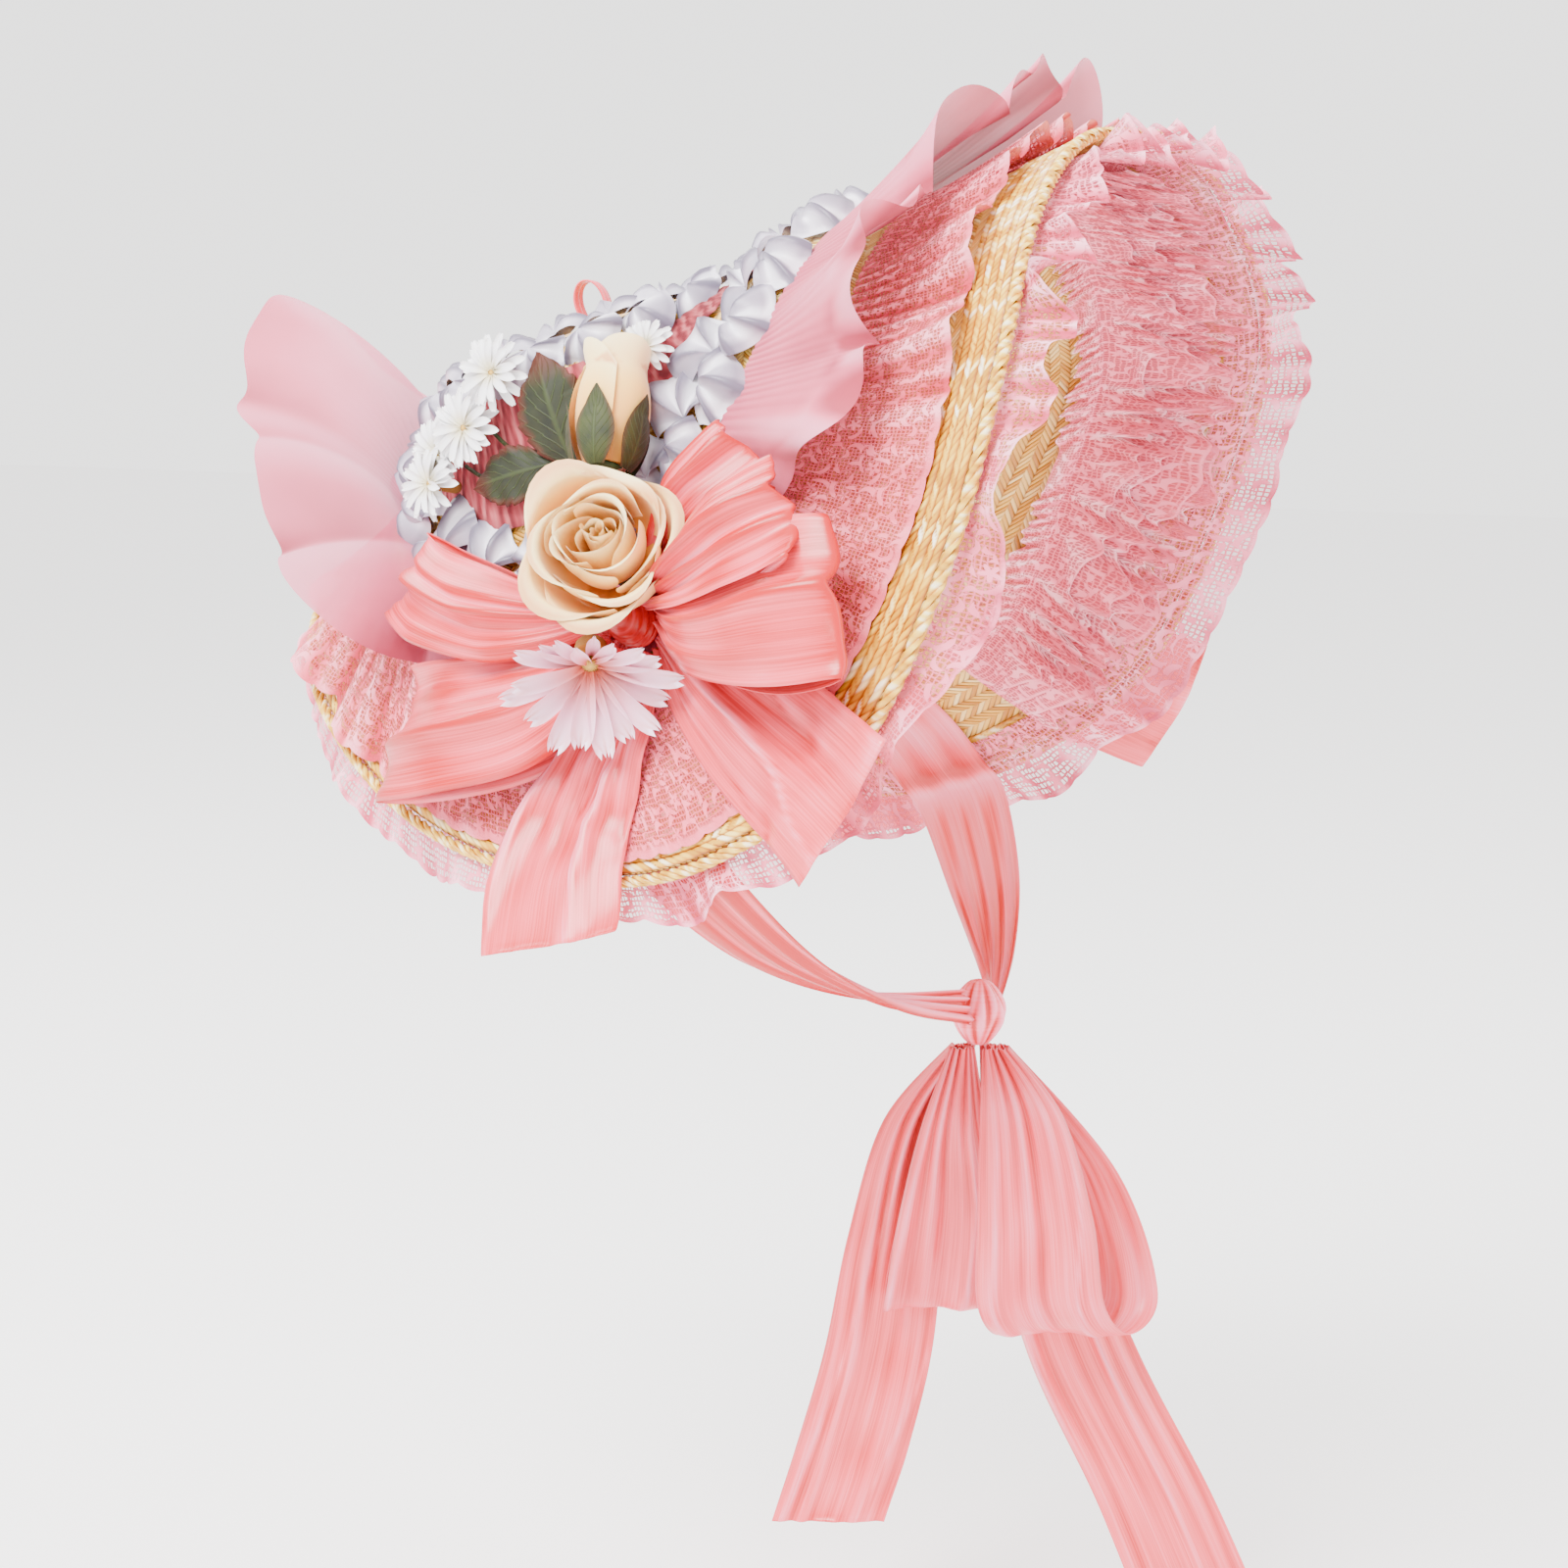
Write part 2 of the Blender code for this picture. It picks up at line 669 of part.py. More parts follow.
def fold_wave(angle, folds):
    """A fold line from -1 to 1 with slightly uneven folds."""
    turn = math.radians(angle)
    return math.sin(folds * turn + 0.9 * math.sin(3 * turn) + 0.5 * math.cos(5 * turn))


def lace_ruffle_top():
    def place(u, v):
        angle = 360 * u
        (fullness,) = even_table_at(PRESS_LINE, angle)
        wave = (1 + fold_wave(angle, LACE_FOLDS)) / 2
        spread = LACE_ROOT_FOLD + (1 - LACE_ROOT_FOLD) * v
        lift = LACE_LIFT + fullness * LACE_FOLD_HEIGHT * spread * wave
        return on_brim(angle, LACE_START + (LACE_END - LACE_START) * v, lift)

    return wall("lace_ruffle_top", place, 4 * LACE_FOLDS, 2, LACE_THICKNESS, LACE)


def lace_edge_under():
    """The gathered edging sewn inside the brim's edge, standing out past the plait."""

    def place(u, v):
        angle = 360 * u
        wave = fold_wave(angle, LACE_FOLDS)
        lift = UNDER_ROOT_LIFT + (UNDER_LIFT - UNDER_ROOT_LIFT) * min(v * 2, 1)
        past = max(0.0, v - 0.5) * 2
        lift -= UNDER_FOLD_HEIGHT * past * (0.7 + 0.8 * wave)
        along = (UNDER_ROOT + UNDER_REACH) * v - UNDER_ROOT
        return on_brim(angle, 1 + along / brim_length(angle), lift)

    return wall("lace_edge_under", place, 4 * LACE_FOLDS, 2, LACE_THICKNESS, LACE)


def lace_lining():
    """The shirred panel inside the front brim. Its first row is the small frilled heading."""

    def place(u, v):
        angle = -LINING_HALF_DEG + 2 * LINING_HALF_DEG * u
        wave = 1 if round(u * LINING_COLUMNS) % 2 else -1
        lift = LINING_LIFT - LINING_SHIRR * wave
        if v == 0:
            lift -= LINING_FRILL
        if v == 1:
            lift = LINING_EDGE_LIFT
        return on_brim(angle, LINING_START + (LINING_END - LINING_START) * v, lift)

    return wall("lace_lining", place, LINING_COLUMNS, 3, LACE_THICKNESS, LACE)


def chiffon_ruffle():
    """The chiffon ruffle round the crown's foot: flat beside the bows, standing up at the back."""

    def place(u, v):
        angle = 360 * u
        length, stand, fold = even_table_at(CHIFFON_LINE, angle)
        reach = CHIFFON_LENGTH * length * v
        rise = math.radians(stand)
        wave = (1 + fold_wave(angle, CHIFFON_FOLDS)) / 2
        across = (CHIFFON_START + reach * math.cos(rise)) / brim_length(angle)
        lift = CHIFFON_LIFT + reach * math.sin(rise) + CHIFFON_FOLD_HEIGHT * fold * wave * v
        return on_brim(angle, across, lift)

    return wall("chiffon_ruffle", place, 4 * CHIFFON_FOLDS, 2, CHIFFON_THICKNESS, CHIFFON)


def across_ribbon(rows, share):
    """Degrees and share across the brim that make one metre of the ribbon's width."""
    angle, across, _, _ = smooth_row(rows, share)
    if rows[-1][1] > 1:
        start, end = smooth_row(rows, share - 0.1), smooth_row(rows, share + 0.1)
    else:
        start, end = rows[0], rows[len(rows) // 2]
    along_angle, along_across = end[0] - start[0], end[1] - start[1]
    by_angle = (brim_point(angle + 1, across) - brim_point(angle - 1, across)) / 2
    by_across = (brim_point(angle, across + 0.02) - brim_point(angle, across - 0.02)) / 0.04
    along = by_angle * along_angle + by_across * along_across
    sideways = by_angle.cross(by_across).cross(along).normalized()
    aa, ab, bb = by_angle.dot(by_angle), by_angle.dot(by_across), by_across.dot(by_across)
    sa, sb = sideways.dot(by_angle), sideways.dot(by_across)
    scale = aa * bb - ab * ab
    return (sa * bb - sb * ab) / scale, (sb * aa - sa * ab) / scale


def bow_ribbon(name, rows, mirrored):
    """One loop or tail of a bow, bent over the brim."""

    def place(u, v):
        angle, across, height, half = smooth_row(rows, u)
        turn_angle, turn_across = across_ribbon(rows, u)
        offset = (2 * v - 1) * half * RIBBON_WIDTH
        lift = RIBBON_LIFT + height * LOOP_HEIGHT
        at = angle + offset * turn_angle
        return on_brim(360 - at if mirrored else at, across + offset * turn_across, lift)

    return wall(name, place, STRIP_SEGMENTS, 2, RIBBON_THICKNESS, RIBBON)


def bow(side, mirrored):
    for label, rows in BOW_RIBBONS.items():
        bow_ribbon(f"{side}_bow_{label}", rows, mirrored)
    angle = 360 - BOW_ANGLE if mirrored else BOW_ANGLE
    place, outwards, normal = brim_frame(angle, BOW_ACROSS)
    sideways = normal.cross(outwards)

    def knot(turn, row):
        radius = KNOT_RADIUS * row[1]
        spin = math.radians(turn)
        flat = sideways * math.cos(spin) * radius + outwards * math.sin(spin) * radius * KNOT_STRETCH
        return place + flat + normal * (KNOT_LIFT + KNOT_HEIGHT * row[0])

    turned(f"{side}_bow_knot", BOW_KNOT_ROWS, KNOT_SIDES, knot, RIBBON)


def chin_strap(name, side):
    """One strap: a flat run inside the brim, then a free run that narrows into the knot."""
    inside = []
    for across, lift, width in STRAP_INSIDE:
        angle = STRAP_ANGLE if side < 0 else 360 - STRAP_ANGLE
        centre = on_brim(angle, across, lift)
        ahead = (on_brim(angle + 2, across, lift) - on_brim(angle - 2, across, lift)).normalized()
        inside.append((*centre, *(-ahead * side * STRAP_HALF_WIDTH * width)))
    last = Vector(inside[-1][:3])
    last_wide = Vector(inside[-1][3:])
    end = CHIN_KNOT + Vector((side * (CHIN_KNOT_RADIUS + 3 * GAP), 0, STRAP_END_RISE))
    end_wide = Vector((0, 0.27, 0.96)) * STRAP_END_HALF_WIDTH
    free = []
    for share in STRAP_FREE_SHARES:
        sag = Vector((side * STRAP_SAG_OUT, 0, -STRAP_SAG_DOWN)) * math.sin(math.pi * share)
        centre = last.lerp(end, share) + sag
        wide = last_wide.lerp(end_wide, share**STRAP_NARROWING)
        free.append((*centre, *wide))
    rows = inside + free

    def place(u, v):
        values = smooth_row(rows, u)
        return Vector(values[:3]) + Vector(values[3:]) * (2 * v - 1)

    return wall(name, place, STRAP_SEGMENTS, 1, RIBBON_THICKNESS, RIBBON)


def chin_ribbon(name, rows):
    """A loop or tail below the chin, in the plane that faces out and to the front."""
    turn = math.radians(CHIN_TURN_DEG)
    rightwards = Vector((math.cos(turn), -math.sin(turn), 0))
    outwards = Vector((-math.sin(turn), -math.cos(turn), 0))

    def place(u, v):
        right, up, out, half = smooth_row(rows, u)
        centre = CHIN_KNOT + (rightwards * right + outwards * out) * CHIN_DROP
        centre.z += up * CHIN_DROP
        return centre + rightwards * ((2 * v - 1) * half * RIBBON_WIDTH)

    return wall(name, place, STRIP_SEGMENTS, 2, RIBBON_THICKNESS, RIBBON)


def chin_tie():
    chin_strap("chin_strap_right", -1)
    chin_strap("chin_strap_left", 1)
    for name, rows in CHIN_RIBBONS.items():
        chin_ribbon(name, rows)

    def knot(turn, row):
        spin = math.radians(turn)
        flat = Vector((math.cos(spin), math.sin(spin), 0)) * CHIN_KNOT_RADIUS * row[1]
        return CHIN_KNOT + flat + Vector((0, 0, CHIN_KNOT_HEIGHT * (row[0] - 0.5)))

    turned("chin_knot", CHIN_KNOT_ROWS, KNOT_SIDES, knot, RIBBON)


def side_axes(axis):
    """Two unit directions square to an axis and to each other."""
    first = axis.cross(Vector((0, 0, 1))).normalized()
    return first, axis.cross(first).normalized()


def rose_full():
    """The open rose on its short stem: rings of petal rims and the dips between them."""
    seat = on_brim(ROSE_ANGLE, ROSE_ACROSS, ROSE_SEAT)
    across, upright = side_axes(ROSE_FACE)
    thin = ROSE_STEM_RADIUS / ROSE_RADIUS
    stalk = ((-ROSE_STEM / ROSE_HEIGHT, thin, 0, 5), (-0.04, thin, 0, 5))

    def place(turn, row):
        height, radius, depth, petals = row
        spin = math.radians(turn)
        reach = ROSE_RADIUS * (radius + depth * math.cos(petals * spin + 3 * height))
        flat = across * math.cos(spin) * reach + upright * math.sin(spin) * reach
        return seat + ROSE_FACE * (ROSE_STEM + height * ROSE_HEIGHT) + flat

    turned("rose_full", stalk + ROSE_ROWS, ROSE_SIDES, place, CREAM)


def rose_bud():
    """The bud, its calyx of five sepals and its stem."""
    foot, tip = on_crown(*BUD_FOOT), on_crown(*BUD_TIP)
    axis = (tip - foot).normalized()
    across, upright = side_axes(axis)

    def ring(turn, reach, along):
        spin = math.radians(turn)
        flat = across * math.cos(spin) + upright * math.sin(spin)
        return foot + axis * (along * BUD_LENGTH) + flat * reach

    def petal(turn, row):
        return ring(turn, BUD_RADIUS * row[1] * (1 + 0.05 * math.cos(3 * math.radians(turn))), row[0])

    turned("rose_bud", BUD_ROWS, BUD_SIDES, petal, CREAM)

    def sepal(u, v):
        points = CALYX_SHARE * (0.62 + 0.38 * math.cos(SEPALS * 2 * math.pi * u))
        along = v * (points + CALYX_FOOT) - CALYX_FOOT
        bulge = math.sin(math.pi * min(1, max(0, along + 0.1) / 0.9)) ** 0.5
        return ring(360 * u, (BUD_RADIUS + CALYX_CLEARANCE) * (0.34 + 0.72 * bulge), along)

    wall("bud_calyx", sepal, 4 * SEPALS, 3, LEAF_THICKNESS, GREEN)


def leaf(name, ground, base, tip, half_width, arch):
    """A pointed leaf with a folded midrib, from a base to a tip over the crown or the brim."""
    surface = {"crown": on_crown, "brim": on_brim}[ground]
    start, end = surface(*base), surface(*tip)
    outward = (surface(base[0], base[1], base[2] + 0.01) - start).normalized()
    along = end - start
    sideways = outward.cross(along).normalized()

    def place(u, v):
        width = half_width * (math.sin(math.pi * u**0.8) * 0.96 + 0.04)
        side = 2 * v - 1
        rise = arch * (math.sin(math.pi * u) - 0.5 * abs(side))
        return start + along * u + sideways * side * width + outward * rise

    wall(name, place, LEAF_SEGMENTS, 2, LEAF_THICKNESS, GREEN)


def stem(name, points):
    """A thin green stem through a few places on the crown's wall."""
    curve = bpy.data.curves.new(name, "CURVE")
    curve.dimensions = "3D"
    curve.bevel_depth = STEM_RADIUS
    curve.bevel_resolution = 0
    curve.use_fill_caps = True
    spline = curve.splines.new("POLY")
    spline.points.add(len(points) * 2 - 2)
    for index, point in enumerate(spline.points):
        angle, up, lift = smooth_row(points, index / (len(spline.points) - 1))
        point.co = (*on_crown(angle, up, lift), 1)
    curve.materials.append(GREEN)
    made = bpy.data.objects.new(name, curve)
    bpy.context.scene.collection.objects.link(made)


def daisy(name, seat, axis, shape, finish):
    """A daisy on a short hub: one closed body of hub, petal star and domed centre."""
    radius, height, petals, sides_each, curl = shape
    across, upright = side_axes(axis)
    hub = radius * 0.24
    rows = (
        (0.0, hub, 0),
        (height - 2 * PETAL_THICKNESS, hub, 0),
        (height - PETAL_THICKNESS + curl, radius, 1),
        (height + curl, radius * 0.98, 1),
        (height, radius * 0.34, 0),
        (height + DAISY_CENTRE_RISE, radius * 0.20, 0),
    )

    def place(turn, row):
        spin = math.radians(turn)
        notch = 0.5 - 0.5 * math.cos(petals * spin)
        reach = row[1] * (1 - 0.42 * notch * notch * row[2])
        flat = across * math.cos(spin) * reach + upright * math.sin(spin) * reach
        return seat + axis * row[0] + flat

    turned(name, rows, petals * sides_each, place, finish)


def crown_loop():
    """The small ribbon loop that stands up behind the top ruche."""
    foot = on_top(CROWN_LOOP_ANGLE, CROWN_LOOP_INWARDS, STRAW_THICKNESS / 2 + GAP)
    flat_normal = (on_top(0, 0, 1) - on_top(0, 0, 0)).normalized()
    inwards = (on_top(CROWN_LOOP_ANGLE, 0.5, 0) - on_top(CROWN_LOOP_ANGLE, 0, 0)).normalized()
    along = flat_normal.cross(inwards).normalized()

    def place(u, v):
        turn = math.pi * (1.42 * u - 0.21)
        rise = CROWN_LOOP_HEIGHT * max(0.0, 0.45 + 0.55 * math.sin(turn)) if 0 < u < 1 else 0.0
        spread = CROWN_LOOP_RADIUS * math.cos(turn)
        return foot + along * spread + flat_normal * rise + inwards * ((v - 0.5) * CROWN_LOOP_WIDTH)

    wall("crown_loop", place, 8, 1, RIBBON_THICKNESS, RIBBON)


def flowers():
    rose_full()
    rose_bud()
    for name, row in LEAVES.items():
        leaf(name, *row)
    for name, points in STEMS.items():
        stem(name, points)
    for name, (angle, up, radius, seat, height) in SMALL_DAISIES.items():
        _, _, _, outward = crown_frame(angle)
        shape = (radius, height, DAISY_PETALS, 2, DAISY_CURL)
        daisy(name, on_crown(angle, up, seat), outward, shape, WHITE)
    seat = on_brim(PINK_DAISY_ANGLE, PINK_DAISY_ACROSS, PINK_DAISY_SEAT)
    _, _, normal = brim_frame(PINK_DAISY_ANGLE, PINK_DAISY_ACROSS)
    face = (normal + PINK_DAISY_FACE).normalized()
    daisy("daisy_pink", seat, face, PINK_DAISY, LILAC)
    crown_loop()


def build():
    straw_brim()
    straw_crown()
    brim_edge_plait()
    crown_ruche_base()
    crown_ruche_top()
    crown_band()
    lace_ruffle_top()
    lace_edge_under()
    lace_lining()
    chiffon_ruffle()
    bow("right", False)
    bow("left", True)
    chin_tie()
    flowers()


build()
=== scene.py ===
"""Looks of a straw bonnet: plaited straw, ruffles, ruches, ribbon bows, silk flowers and a chin tie.

Metres, +Z up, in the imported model's frame. The face looks along -Y and the wearer's right is -X.
Angles run round the hat in degrees: 0 is the front, 90 the wearer's right, 180 the back.
"""

import logging
import math
from dataclasses import dataclass, field
from enum import Enum
from typing import Any, Callable

import bmesh
import bpy
import numpy as np
from mathutils import Matrix, Vector


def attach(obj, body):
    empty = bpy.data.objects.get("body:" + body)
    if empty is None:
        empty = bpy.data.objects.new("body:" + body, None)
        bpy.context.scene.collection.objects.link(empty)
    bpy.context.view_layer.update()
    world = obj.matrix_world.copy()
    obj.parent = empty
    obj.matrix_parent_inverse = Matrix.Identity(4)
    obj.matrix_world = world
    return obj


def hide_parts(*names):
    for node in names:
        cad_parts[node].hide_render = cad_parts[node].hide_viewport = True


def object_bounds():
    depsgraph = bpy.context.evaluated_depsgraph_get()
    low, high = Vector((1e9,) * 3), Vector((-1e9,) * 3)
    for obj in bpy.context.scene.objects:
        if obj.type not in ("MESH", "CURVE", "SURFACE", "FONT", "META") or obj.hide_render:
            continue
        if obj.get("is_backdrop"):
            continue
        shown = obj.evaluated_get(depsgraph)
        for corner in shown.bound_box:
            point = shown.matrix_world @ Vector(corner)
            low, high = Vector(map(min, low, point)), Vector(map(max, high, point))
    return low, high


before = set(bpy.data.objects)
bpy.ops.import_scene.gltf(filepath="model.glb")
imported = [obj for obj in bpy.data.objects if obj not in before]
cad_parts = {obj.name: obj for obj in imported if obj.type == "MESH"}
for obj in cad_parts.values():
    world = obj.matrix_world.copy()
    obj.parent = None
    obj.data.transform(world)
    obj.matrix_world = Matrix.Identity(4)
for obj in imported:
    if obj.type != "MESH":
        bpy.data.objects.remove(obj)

Array = np.ndarray
Place = Callable[[Array, Array], Array]
Table = tuple[tuple[float, ...], ...]
Point = tuple[float, float, float]
Tree = bpy.types.NodeTree
LOG = logging.getLogger("bonnet")
MM = 0.001
RIBBON_WALL = 0.4 * MM
LEAF_WALL = 0.4 * MM


def linear(code: str) -> tuple[float, float, float, float]:
    """Turns an sRGB hex colour to linear.

    Args:
        code: the colour, such as "#e7aeb4".

    Returns:
        Linear red, green, blue and an alpha of 1.
    """
    shares = [int(code[i : i + 2], 16) / 255 for i in (1, 3, 5)]
    return (*(s / 12.92 if s <= 0.04045 else ((s + 0.055) / 1.055) ** 2.4 for s in shares), 1.0)


def add(tree: Tree, kind: str, values: dict[Any, Any], **settings: Any) -> bpy.types.Node:
    """Adds a node with its settings and links.

    Args:
        tree: the material's node tree.
        kind: the node's type, without the words every shader node's type starts with.
        values: a number or a socket to link, by the input's name or place.
        settings: the node's own properties.

    Returns:
        The new node.
    """
    node = tree.nodes.new("ShaderNode" + kind)
    for name, value in settings.items():
        setattr(node, name, value)
    for key, value in values.items():
        if isinstance(value, bpy.types.NodeSocket):
            tree.links.new(value, node.inputs[key])
        else:
            node.inputs[key].default_value = value
    return node


def ramp(tree: Tree, factor: bpy.types.NodeSocket, stops: list[tuple[float, str]]) -> Any:
    """Colours a factor.

    Args:
        tree: the material's node tree.
        factor: the socket that picks the colour.
        stops: place and sRGB hex colour of each stop, in order.

    Returns:
        The colour socket.
    """
    node = add(tree, "ValToRGB", {"Fac": factor})
    band = node.color_ramp
    band.elements[0].position, band.elements[0].color = stops[0][0], linear(stops[0][1])
    band.elements[1].position, band.elements[1].color = stops[-1][0], linear(stops[-1][1])
    for position, code in stops[1:-1]:
        band.elements.new(position).color = linear(code)
    return node.outputs["Color"]


class Held(Enum):
    """How a cloth is held in its worn shape."""

    GATHERED = "gathered"
    HUNG = "hung"
    FOLDED = "folded"


@dataclass(frozen=True)
class Finish:
    """A finish with one Principled shader, which every real surface here is built on."""

    name: str
    roughness: float = 0.6
    sheen: float = 0.0
    ior: float = 1.45
    bump_mm: float = 0.2
    subsurface: float = 0.0
    sheen_roughness: float = 0.4
    scatter: Point = (1.0, 0.45, 0.35)
    scatter_mm: float = 4.0

    def colour(self, tree: Tree) -> Any:
        """The colour socket."""
        raise NotImplementedError

    def relief(self, tree: Tree) -> Any:
        """The height socket for fine relief, or None."""
        return None

    def cover(self, tree: Tree) -> Any:
        """The alpha socket, or None where the surface is whole."""
        return None

    def material(self) -> bpy.types.Material:
        """Makes the material once and returns it."""
        made = bpy.data.materials.get(self.name)
        if made:
            return made
        made = bpy.data.materials.new(self.name)
        made.use_nodes = True
        tree = made.node_tree
        shader = tree.nodes["Principled BSDF"]
        tree.links.new(self.colour(tree), shader.inputs["Base Color"])
        values = {
            "Roughness": self.roughness,
            "IOR": self.ior,
            "Sheen Weight": self.sheen,
            "Sheen Roughness": self.sheen_roughness,
        }
        if self.subsurface:
            values["Subsurface Weight"] = self.subsurface
            values["Subsurface Radius"] = self.scatter
            values["Subsurface Scale"] = self.scatter_mm * MM
        for name, value in values.items():
            shader.inputs[name].default_value = value
        height = self.relief(tree)
        if height is not None:
            bump = add(tree, "Bump", {"Height": height, "Distance": self.bump_mm * MM, "Strength": 1.0})
            tree.links.new(bump.outputs["Normal"], shader.inputs["Normal"])
        alpha = self.cover(tree)
        if alpha is not None:
            tree.links.new(alpha, shader.inputs["Alpha"])
        return made


def cloth_place(tree: Tree, along_mm: float, across_mm: float) -> Any:
    """The piece's own UV map, in repeats of a pattern.

    Args:
        tree: the material's node tree.
        along_mm: size of one repeat along the cloth.
        across_mm: size of one repeat across it.

    Returns:
        A vector socket.
    """
    uv = add(tree, "UVMap", {}, uv_map="UVMap")
    scale = (1 / (along_mm * MM), 1 / (across_mm * MM), 1.0)
    return add(tree, "Mapping", {"Vector": uv.outputs["UV"], "Scale": scale}).outputs["Vector"]


def maths(tree: Tree, operation: str, *values: Any, clamp: bool = False) -> Any:
    """A maths node's result.

    Args:
        tree: the material's node tree.
        operation: the node's operation.
        values: numbers or sockets.
        clamp: whether the result stays from 0 to 1.

    Returns:
        The value socket.
    """
    numbered = dict(enumerate(values))
    return add(tree, "Math", numbered, operation=operation, use_clamp=clamp).outputs[0]


def remap(tree: Tree, value: Any, low: float, high: float) -> Any:
    """The value as a share, from 0 at low to 1 at high."""
    return add(tree, "MapRange", {"Value": value, "From Min": low, "From Max": high}).outputs[0]


def noise(tree: Tree, place: Any, scale: float, detail: float, roughness: float = 0.5) -> Any:
    """Cloudy noise at a place."""
    values = {"Vector": place, "Scale": scale, "Detail": detail, "Roughness": roughness}
    return add(tree, "TexNoise", values).outputs["Fac"]


def cloud(tree: Tree, scale: float, detail: float) -> Any:
    """Noise in the piece's own space."""
    return noise(tree, add(tree, "TexCoord", {}).outputs["Object"], scale, detail)


def split(tree: Tree, vector: Any) -> tuple[Any, Any]:
    """The first two numbers of a vector."""
    parts = add(tree, "SeparateXYZ", {"Vector": vector})
    return parts.outputs[0], parts.outputs[1]


def attribute(tree: Tree, name: str) -> Any:
    """The value of a piece's own attribute."""
    return add(tree, "Attribute", {}, attribute_name=name).outputs["Fac"]


def blend(tree: Tree, kind: str, share: Any, first: Any, second: Any) -> Any:
    """Two colours mixed.

    Args:
        tree: the material's node tree.
        kind: the blend type.
        share: how much of the second.
        first: the first colour.
        second: the second colour.

    Returns:
        The colour socket.
    """
    values = {0: share, 6: first, 7: second}
    return add(tree, "Mix", values, data_type="RGBA", blend_type=kind).outputs[2]


@dataclass(frozen=True)
class PlaitedStraw(Finish):
    """Split wheat straw, plaited flat and sewn in lapping rows: golden, with a waxy gloss on each straw."""

    row_mm: float = 9.0
    straw_mm: float = 2.6
    lean: float = 1.1
    row_shift: float = 0.37

    def weave(self, tree: Tree) -> tuple[Any, Any]:
        """Height of the plait and a number that picks each straw's own tone.

        Args:
            tree: the material's node tree.

        Returns:
            The height socket and the tone socket.
        """
        along, across = split(tree, cloth_place(tree, self.straw_mm, self.row_mm))
        row = maths(tree, "FLOOR", across)
        part = maths(tree, "FRACT", across)
        half = maths(tree, "ABSOLUTE", maths(tree, "SUBTRACT", part, 0.5))
        slant = maths(tree, "MULTIPLY_ADD", half, self.row_mm / self.straw_mm * self.lean, along)
        shifted = maths(tree, "MULTIPLY_ADD", row, self.row_shift, slant)
        side = maths(tree, "GREATER_THAN", part, 0.5)
        staggered = maths(tree, "MULTIPLY_ADD", side, 0.5, shifted)
        number = maths(tree, "FLOOR", staggered)
        inside = maths(tree, "FRACT", staggered)
        round_straw = maths(tree, "SINE", maths(tree, "MULTIPLY", inside, math.pi))
        lap = maths(tree, "SINE", maths(tree, "MULTIPLY", part, math.pi))
        height = maths(tree, "ADD", maths(tree, "POWER", round_straw, 0.6), maths(tree, "POWER", lap, 0.5))
        key = add(tree, "CombineXYZ", {0: number, 1: row, 2: side}).outputs[0]
        tone = add(tree, "TexWhiteNoise", {"Vector": key}, noise_dimensions="3D").outputs["Value"]
        return height, tone

    def colour(self, tree: Tree) -> Any:
        """Straws from pale gold to honey, with painted shade where the plait is low, between the straws and
        the rows.
        """
        height, tone = self.weave(tree)
        straws = ramp(tree, tone, [(0, "#b97820"), (0.3, "#d99c38"), (0.65, "#ecbc58"), (1, "#f7da94")])
        # painted shade: the plait's low places, between straws and rows, are darkened as if shaded
        shade = remap(tree, height, 0.35, 1.5)
        return blend(tree, "MULTIPLY", 0.85, straws, ramp(tree, shade, [(0, "#8a5c36"), (1, "#ffffff")]))

    def relief(self, tree: Tree) -> Any:
        """The plait's height."""
        return self.weave(tree)[0]


@dataclass(frozen=True)
class CarvedStraw(Finish):
    """The same straw where the plait is modelled: each straw has its tone and a fine lengthwise grain."""

    def colour(self, tree: Tree) -> Any:
        """Gold by straw, with painted shade in the crossings."""
        # random tone for each straw, which is real, while the palest near-white stops are painted glints
        stops = [(0, "#bc8418"), (0.35, "#dfaa30"), (0.68, "#f0cc5c"), (0.82, "#fae6a4"), (1, "#fff6e0")]
        straws = ramp(tree, attribute(tree, "tone"), stops)
        # painted shade: darker where the modelled plait is low, in its crossings and between the edge
        # strands
        depth = ramp(tree, attribute(tree, "depth"), [(0, "#6b3f1c"), (0.35, "#d8b078"), (0.75, "#ffffff")])
        return blend(tree, "MULTIPLY", 1.0, straws, depth)

    def relief(self, tree: Tree) -> Any:
        """Lengthwise grain, 0.5 mm apart."""
        return noise(tree, cloth_place(tree, 6.0, 0.5), 1.0, 2.0)


@dataclass(frozen=True)
class SheerCloth(Finish):
    """Chiffon or voile: a sheer plain weave, with painted shade in its folds and painted light on its
    crests.
    """

    # deep is painted shade for the folds, light is painted light for the crests
    deep: str = "#ac2a46"
    middle: str = "#e0607e"
    light: str = "#f890ac"
    opacity: float = 0.90
    thread_mm: float = 0.55

    def colour(self, tree: Tree) -> Any:
        """Painted shade in the folds and painted light on the crests, by fold depth, with a slow unevenness
        of the dye.
        """
        mottle = cloud(tree, 28.0, 2.0)
        # painted shade and light: the fold attribute sets the tone, over random dye mottle
        tone = maths(tree, "MULTIPLY_ADD", mottle, 0.24, attribute(tree, "cavity"))
        stops = [(0.12, self.deep), (0.5, self.middle), (0.9, self.light)]
        return ramp(tree, maths(tree, "SUBTRACT", tone, 0.12), stops)

    def relief(self, tree: Tree) -> Any:
        """Plain weave, drawn at 0.55 mm because the real 0.2 mm thread is too fine to show."""
        along, across = split(tree, cloth_place(tree, self.thread_mm, self.thread_mm))
        warp = maths(tree, "SINE", maths(tree, "MULTIPLY", along, math.tau))
        weft = maths(tree, "SINE", maths(tree, "MULTIPLY", across, math.tau))
        return maths(tree, "MULTIPLY", warp, weft)

    def cover(self, tree: Tree) -> Any:
        """Sheer by an even share, a little denser in the folds."""
        if self.opacity >= 1:
            return None
        return maths(tree, "MULTIPLY_ADD", attribute(tree, "cavity"), -0.12, self.opacity + 0.06)


